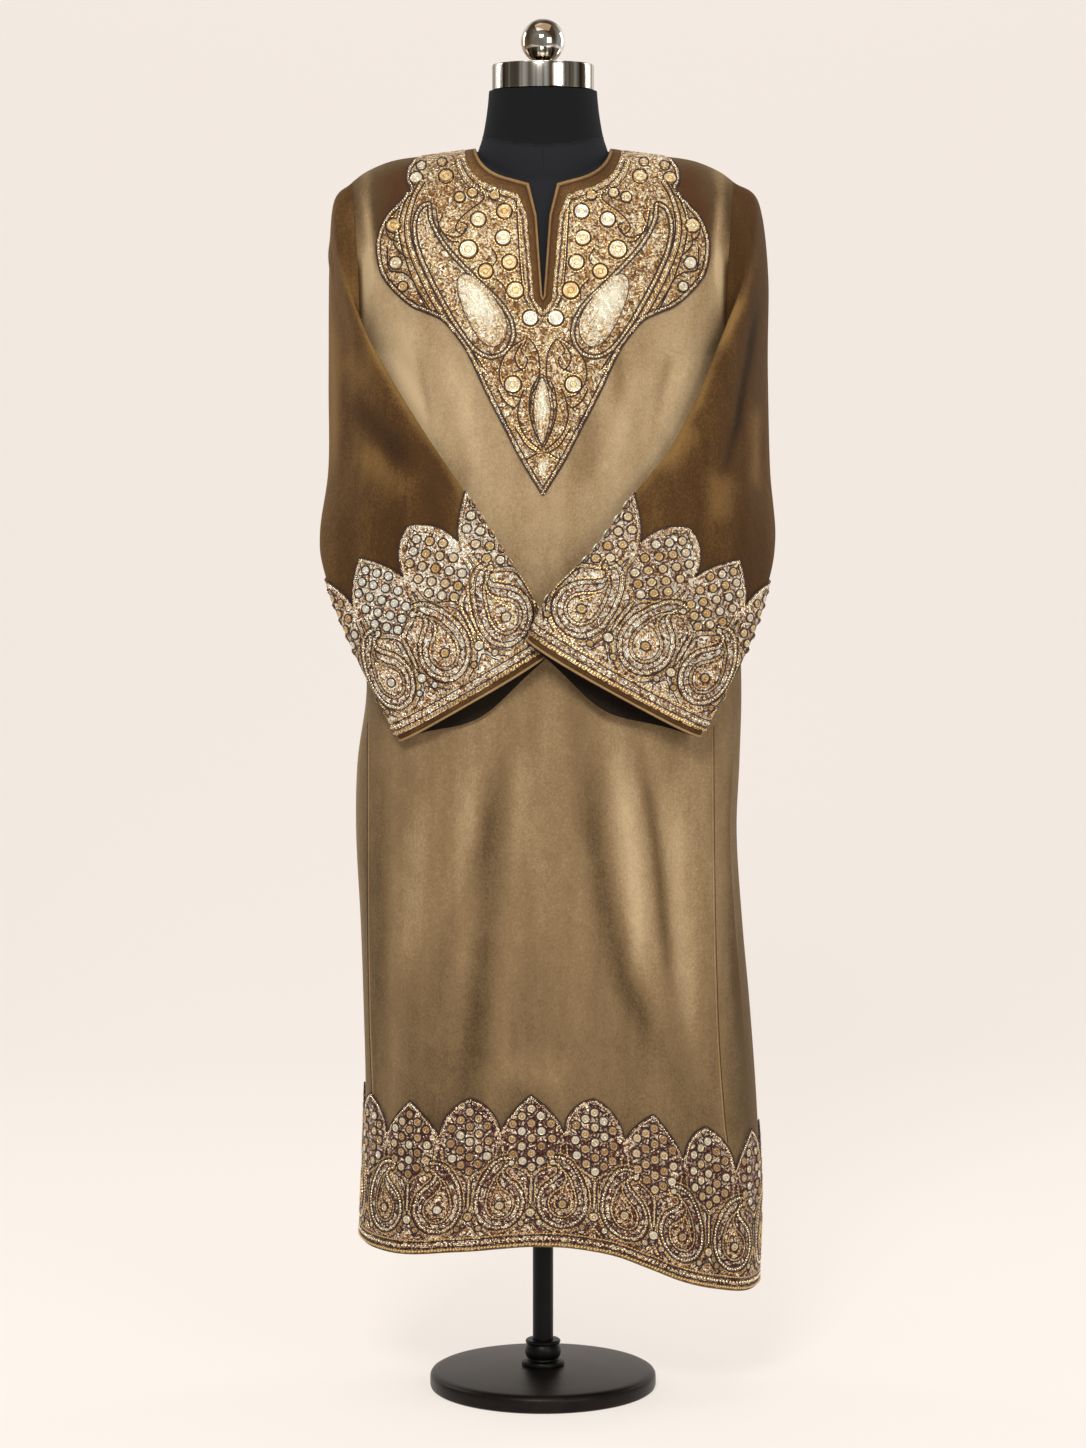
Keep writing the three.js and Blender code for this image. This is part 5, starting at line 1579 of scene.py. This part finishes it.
seamLines = {
    "left": [(-203, 800), (-203, 700), (-203.5, 560), (-202, 440), (-199, 352)],
    "right": [(196, 800), (197, 700), (199, 560), (203, 440), (210, 345), (214, 312)],
}


def seamWelts():
    welts, shadows = [], []
    for side, line in seamLines.items():
        even = smoothLine(line, 4)
        beside = shifted(even, -1.9 if side == "left" else 1.9)
        welts.append({"line": even, "width": 1.0, "closed": False})
        # a thin dark tube of painted shadow beside each welt
        shadows.append({"line": beside, "width": 0.55, "closed": False})
    threadPiece("seamWelts", tubes(welts, "panel", -0.2), "paintedHighlightVelvet")
    threadPiece("seamShadows", tubes(shadows, "panel", -0.1), "paintedShadowVelvet")


# lighter and darker copies of the velvet: painted highlight and painted shadow
materials["paintedHighlightVelvet"] = velvet("paintedHighlightVelvet", srgb(104, 80, 50), srgb(150, 122, 84), srgb(180, 154, 112))
materials["paintedShadowVelvet"] = velvet("paintedShadowVelvet", srgb(30, 22, 12), srgb(44, 32, 18), srgb(66, 50, 30))
cuffTurn("left", sleeves["left"])
cuffTurn("right", sleeves["right"])
seamWelts()


# The dress form: a smooth torso with its neck, under the cloth

torso = {
    "bottom": 812,
    "under": 2.4,
    "roundness": 2.3,
    "columns": 96,
    "widths": [(812, 164), (880, 172), (960, 168), (1050, 142), (1140, 119), (1230, 148), (1310, 166),
               (1390, 182), (1480, 190)],
    "frontDepths": [(0, 0), (6, 17), (18, 39), (36, 60), (54, 73), (100, 90), (160, 107), (205, 113),
                    (270, 98), (340, 84), (450, 98), (560, 108), (670, 102)],
    "backDepths": [(0, 0), (5, 19), (12, 36), (22, 51), (38, 66), (62, 77), (120, 88), (220, 88),
                   (340, 74), (450, 92), (560, 104), (670, 98)],
    "neckAcross": [(1425, 83), (1455, 79), (1468, 75), (1482, 70.5), (1500, 67), (1518, 64.5), (1535, 63)],
    "neckFront": [(1425, 66), (1455, 64), (1468, 62), (1482, 60.5), (1500, 60.5), (1518, 61.5),
                  (1535, 62.5)],
    "neckBack": [(1425, 53), (1455, 53), (1468, 53), (1482, 54), (1500, 56), (1518, 58), (1535, 61)],
}


def torsoPoint(angle, drop):
    across = signedPower(np.sin(angle), 2 / torso["roundness"])
    ahead = signedPower(np.cos(angle), 2 / torso["roundness"])
    levelX = across * lookup(torso["widths"], garment["shoulderTop"] - drop)
    z = rowHeight(drop, levelX, True, withHem=False) - torso["under"]
    x = across * lookup(torso["widths"], z)
    depth = np.where(ahead > 0, lookup(torso["frontDepths"], drop), lookup(torso["backDepths"], drop))
    return np.stack([x, -ahead * depth, z], -1)


def neckPoint(angle, z):
    depth = np.where(np.cos(angle) > 0, lookup(torso["neckFront"], z), lookup(torso["neckBack"], z))
    return np.stack([lookup(torso["neckAcross"], z) * np.sin(angle), -depth * np.cos(angle), z], -1)


def closedLoft(name, rings):  # rings from the top down, the ends closed by a flat fan each
    count = len(rings[0])
    points = np.concatenate([rings.reshape(-1, 3), [rings[0].mean(axis=0)], [rings[-1].mean(axis=0)]])
    faces = gridFaces(len(rings), count, isTube=True)
    top, last = len(rings) * count, (len(rings) - 1) * count
    faces += [(top, c, (c + 1) % count) for c in range(count)]
    faces += [(top + 1, last + (c + 1) % count, last + c) for c in range(count)]
    return newPiece(name, points, faces)


def seamHeight(ahead):  # the seam between neck and torso dips at the front and the back
    return 1482 - 13 * np.abs(ahead) ** 1.6


def makeTorso():
    turns = np.arange(torso["columns"]) / torso["columns"] * 2 * math.pi
    end = garment["shoulderTop"] - torso["bottom"] - torso["under"]
    drops = np.concatenate([[0, 2, 5, 9, 14, 20, 28, 38, 50, 64], np.linspace(80, end, 40)])
    body = closedLoft("formTorso", torsoPoint(turns[None, :], drops[:, None] + 0 * turns))
    heights = np.concatenate([[1535], np.linspace(1533, 1425, 40)])
    neck = closedLoft("formNeck", neckPoint(turns[None, :], heights[:, None] + 0 * turns))
    for piece in (body, neck):
        faceOutwards(piece, mergeWithin=0.02 * mm)
    combine(body, neck, "UNION")
    x, y, z = pointsOf(body).T
    isLower = z < seamHeight(y / np.maximum(np.hypot(x, y), 1))
    paint(body, "lower", np.where(isLower, 1.0, 0.0))
    return finishPiece(body, "formCloth", "form_torso")


def makeNeckSeam():
    turns = np.linspace(0, 2 * math.pi, 120, endpoint=False)
    ring = neckPoint(turns, seamHeight(np.cos(turns)))
    front = neckPoint(np.zeros(12), np.linspace(1468, 1442, 12))
    lines = [(line, unit(line * [1, 1, 0]), 0.55, closed)
             for line, closed in ((ring, True), (front, False))]
    points, faces, _ = tubeMesh(lines, circle(0, 0, 1, 6))
    finishPiece(newPiece("neckSeam", points, faces), "formSeam")


def jersey():
    material = newMaterial("formCloth", **{"Roughness": 0.9, "Specular IOR Level": 0.15,
                                           "Sheen Weight": 0.08, "Sheen Tint": (*srgb(120, 130, 150), 1)})
    lower = addNode(material, "Attribute", attribute_name="lower").outputs["Fac"]
    tone = add(material, lower, noise(material, objectPlace(material), 12, 3), 0.4, -0.2)
    feed(material, "Base Color", ramp(material, tone, [(0.0, srgb(20, 20, 22)), (1.0, srgb(31, 32, 35))]))
    knit = noise(material, objectPlace(material, (1, 1, 0.5)), 900, 2, 0.6)
    feed(material, "Normal", bump(material, knit, 0.0004, 0.4))
    return material


materials["formCloth"] = jersey()
materials["formSeam"] = newMaterial("formSeam", **{"Base Color": (0.004, 0.004, 0.005, 1),
                                                   "Roughness": 0.95})
formTorso = makeTorso()
makeNeckSeam()
print("form ready:", len(formTorso.data.polygons))


# The steel cap and ball, the pole and its base

def turnedSteel():  # polished steel with a painted reflection: upright streaks of a dim room painted in its colour by the angle round it
    material = newMaterial("turnedSteel", **{"Metallic": 1.0, "Roughness": 0.14})
    place = addNode(material, "TexCoord").outputs["Object"]
    axes = addNode(material, "SeparateXYZ", {"Vector": place})
    angle = addNode(material, "Math", {0: axes.outputs["X"], 1: axes.outputs["Y"]},
                    operation="ARCTAN2").outputs[0]
    turn = addNode(material, "MapRange", {0: angle, 1: -math.pi, 2: math.pi}).outputs[0]
    steps = addNode(material, "Math", {0: turn, 1: 26.0}, operation="MULTIPLY").outputs[0]
    paintedReflectionStreaks = addNode(material, "TexNoise", {"W": steps, "Scale": 1.0, "Detail": 2.0},
                      noise_dimensions="1D").outputs["Fac"]
    colour = ramp(material, paintedReflectionStreaks, [(0.34, srgb(74, 58, 44)), (0.46, srgb(120, 112, 98)),
                                      (0.55, srgb(206, 200, 186)), (0.66, srgb(255, 252, 244))])
    feed(material, "Base Color", colour)
    fine = noise(material, objectPlace(material, (1, 1, 0.06)), 900, 2)
    feed(material, "Normal", bump(material, fine, 0.0002, 0.12))
    return material


def ballSteel():
    material = newMaterial("ballSteel", **{"Metallic": 1.0, "Roughness": 0.07})
    # a painted reflection: pale and brown patches painted in the ball's colour
    paintedReflectionPatches = noise(material, objectPlace(material, (1, 1, 0.55)), 38, 2, 0.5, 0.8)
    colour = ramp(material, paintedReflectionPatches, [(0.34, srgb(120, 98, 74)), (0.46, srgb(188, 180, 164)),
                                      (0.6, srgb(246, 244, 238))])
    feed(material, "Base Color", colour)
    return material


def darkMetal(name, low, high, roughness, metal):
    material = newMaterial(name, **{"Metallic": metal, "Roughness": roughness, "Specular IOR Level": 0.2})
    tone = noise(material, objectPlace(material), 26, 3)
    feed(material, "Base Color", ramp(material, tone, [(0.3, low), (0.7, high)]))
    return material


def latheRings(profile, columns):
    turns = np.arange(columns) / columns * 2 * math.pi
    return np.array([[(r * math.sin(t), -r * math.cos(t), z) for t in turns] for r, z in profile])


stand = {
    "neck_cap": {"slot": "polished_steel", "material": "turnedSteel", "columns": 128,
                 "profile": [(57.4, 1566), (58.6, 1565.6), (59.3, 1564.6), (59.5, 1563), (59.5, 1537.4),
                             (59.2, 1536.2), (58.2, 1535.3), (57.4, 1535)]},
    "pole": {"slot": "pole_metal", "material": "poleBlack", "columns": 64,
             "profile": [(12.25, 812), (12.25, 26)]},
    "pole_collar": {"slot": "pole_metal", "material": "poleBlack", "columns": 72, "isRing": True,
                    "profile": [(12.6, 57), (19.2, 57), (20.6, 56), (21, 54.4), (20.4, 52.8), (18.9, 51.8),
                                (19.4, 50.6), (20.8, 48), (21.4, 44), (21.2, 40), (20.2, 36.6),
                                (18.6, 34.6), (19, 33.4), (22, 32.6), (24.6, 31.4), (25.5, 29.6),
                                (25.5, 27), (25.2, 26), (12.6, 26)]},
    "base_disc": {"slot": "base_metal", "material": "baseBronze", "columns": 144,
                  "profile": [(34, 26), (70, 24.2), (100, 22.4), (124, 20.8), (130, 20), (133.2, 18.2),
                              (134.7, 15.6), (135, 13), (135, 4), (134.2, 1.6), (132, 0)]},
}
finial = {"radius": 26, "height": 1593, "stemRadius": 9.4, "stemDepth": 3, "stemHeight": 1567.5}
materials["turnedSteel"] = turnedSteel()
materials["ballSteel"] = ballSteel()
materials["poleBlack"] = darkMetal("poleBlack", srgb(5, 5, 4), srgb(12, 11, 10), 0.42, 0.2)
materials["baseBronze"] = darkMetal("baseBronze", srgb(18, 15, 13), srgb(34, 28, 24), 0.4, 0.5)


def makeStand():
    for node, settings in stand.items():
        rings = latheRings(settings["profile"], settings["columns"])
        if settings.get("isRing"):
            columns = settings["columns"]
            faces = gridFaces(len(rings) + 1, columns, isTube=True)
            faces = [[point % (len(rings) * columns) for point in face] for face in faces]
            piece = newPiece(node + "Turned", rings.reshape(-1, 3), faces)
        else:
            piece = closedLoft(node + "Turned", rings)
        finishPiece(piece, settings["material"], node, degrees=35)


def makeFinial():  # the ball on its short stem
    bpy.ops.mesh.primitive_uv_sphere_add(segments=64, ring_count=40, radius=finial["radius"] * mm,
                                         location=(0, 0, finial["height"] * mm))
    ball = bpy.context.object
    ball.name = "finialBall"
    bpy.ops.object.transform_apply(location=True, rotation=True, scale=True)
    bpy.ops.mesh.primitive_cylinder_add(vertices=48, radius=finial["stemRadius"] * mm,
                                        depth=finial["stemDepth"] * mm,
                                        location=(0, 0, finial["stemHeight"] * mm))
    stem = bpy.context.object
    bpy.ops.object.transform_apply(location=True, rotation=True, scale=True)
    combine(ball, stem, "UNION")
    finishPiece(ball, "ballSteel", "finial_ball", degrees=30)


makeStand()
makeFinial()
print("stand ready")


# The cloth pieces and how each is held, listed, with their areas printed

sheets = [  # piece, width and length laid flat in metres, how it is held, area, what is sewn to it
    (frontCloth, (0.56, 1.28), "draped", 0.63, ("hemFront", "yoke", "seam")),
    (backCloth, (0.70, 1.28), "draped", 0.80, ("hemBack",)),
    (leftSleeve, (0.56, 0.62), "hung", 0.22, ("cuffLeft", "leftCuff")),
    (rightSleeve, (0.56, 0.62), "hung", 0.22, ("cuffRight", "rightCuff")),
    (frontBinding, (0.021, 0.5), "draped", 0.010, ()),
    (backBinding, (0.021, 0.3), "draped", 0.0058, ()),
]
for piece, flat, held, area, sewn in sheets:
    print(piece.name, "area", round(sum(face.area for face in piece.data.polygons) / 2, 4))


# Camera, studio and floor

camera = {"place": (0, -4.5, 1.152), "pitch": 4.535, "focalPixels": 3820, "frameHeight": 1448}
studio = {
    "key": {"place": (-0.6, -3.9, 3.2), "size": (1.0, 1.0), "power": 125, "colour": (1, 0.97, 0.93)},
    "fill": {"place": (2.3, -3.6, 1.7), "size": (1.6, 2.0), "power": 46, "colour": (1, 0.98, 0.96)},
    "top": {"place": (0, -0.4, 3.4), "size": (2.0, 1.6), "power": 20, "colour": (1, 1, 1)},
    "rimLeft": {"place": (-2.2, 1.2, 1.9), "size": (0.6, 1.6), "power": 16, "colour": (1, 0.98, 0.95)},
    "rimRight": {"place": (2.2, 1.2, 1.9), "size": (0.6, 1.6), "power": 16, "colour": (1, 0.98, 0.95)},
}
backdrop = {"front": -3.0, "bend": 2.4, "radius": 2.2, "top": 6.5, "halfWidth": 6.0}


def addCamera():
    lens = bpy.data.cameras.new("photoCamera")
    lens.sensor_fit = "VERTICAL"
    lens.sensor_height = 24
    lens.lens = 24 * camera["focalPixels"] / camera["frameHeight"]
    lens.clip_end = 50
    viewer = bpy.data.objects.new("photoCamera", lens)
    viewer.location = camera["place"]
    viewer.rotation_euler = (math.radians(90 - camera["pitch"]), 0, 0)
    bpy.context.scene.collection.objects.link(viewer)
    bpy.context.scene.camera = viewer


def addLight(name, settings):
    lamp = bpy.data.lights.new(name, "AREA")
    lamp.shape = "RECTANGLE"
    lamp.size, lamp.size_y = settings["size"]
    lamp.energy = settings["power"]
    lamp.color = settings["colour"]
    light = bpy.data.objects.new(name, lamp)
    light.location = settings["place"]
    target = np.array([0, 0, 0.95]) - np.array(settings["place"])
    light.rotation_euler = (math.atan2(math.hypot(*target[:2]), -target[2]), 0,
                            math.atan2(target[1], target[0]) - math.pi / 2)
    bpy.context.scene.collection.objects.link(light)


def addFloor():  # a pale floor that turns up into the wall behind, so that no edge shows
    pale = newMaterial("paleFloor", Roughness=0.95)
    shader = pale.node_tree.nodes["Principled BSDF"]
    shader.inputs["Base Color"].default_value = (0.30, 0.29, 0.28, 1)
    shader.inputs["Specular IOR Level"].default_value = 0.0
    shader.inputs["Emission Color"].default_value = (*srgb(246, 236, 228), 1)
    shader.inputs["Emission Strength"].default_value = 0.74
    turns = np.linspace(0, math.pi / 2, 33)
    line = [(backdrop["front"], 0.0)]
    line += [(backdrop["bend"] + backdrop["radius"] * math.sin(t), backdrop["radius"] * (1 - math.cos(t)))
             for t in turns]
    line.append((line[-1][0], backdrop["top"]))
    points = [(x * 1000, y * 1000, z * 1000) for y, z in line
              for x in (-backdrop["halfWidth"], backdrop["halfWidth"])]
    ground = newPiece("studioFloor", points, gridFaces(len(line), 2, flip=True))
    for face in ground.data.polygons:
        face.use_smooth = True
    setMaterial(ground, pale)
    world = bpy.data.worlds.new("paleWorld")
    bpy.context.scene.world = world
    world.use_nodes = True
    world.node_tree.nodes["Background"].inputs["Color"].default_value = (*srgb(247, 243, 239), 1)
    world.node_tree.nodes["Background"].inputs["Strength"].default_value = 0.3


addCamera()
for name, settings in studio.items():
    addLight(name, settings)
addFloor()
bpy.context.scene.view_settings.view_transform = "Standard"
print("camera and studio ready")

counts = {piece.name: sum(len(face.vertices) - 2 for face in piece.data.polygons)
          for piece in bpy.context.scene.objects if piece.type == "MESH"}
print("triangles:", sum(counts.values()), "most in:", max(counts, key=counts.get), max(counts.values()))
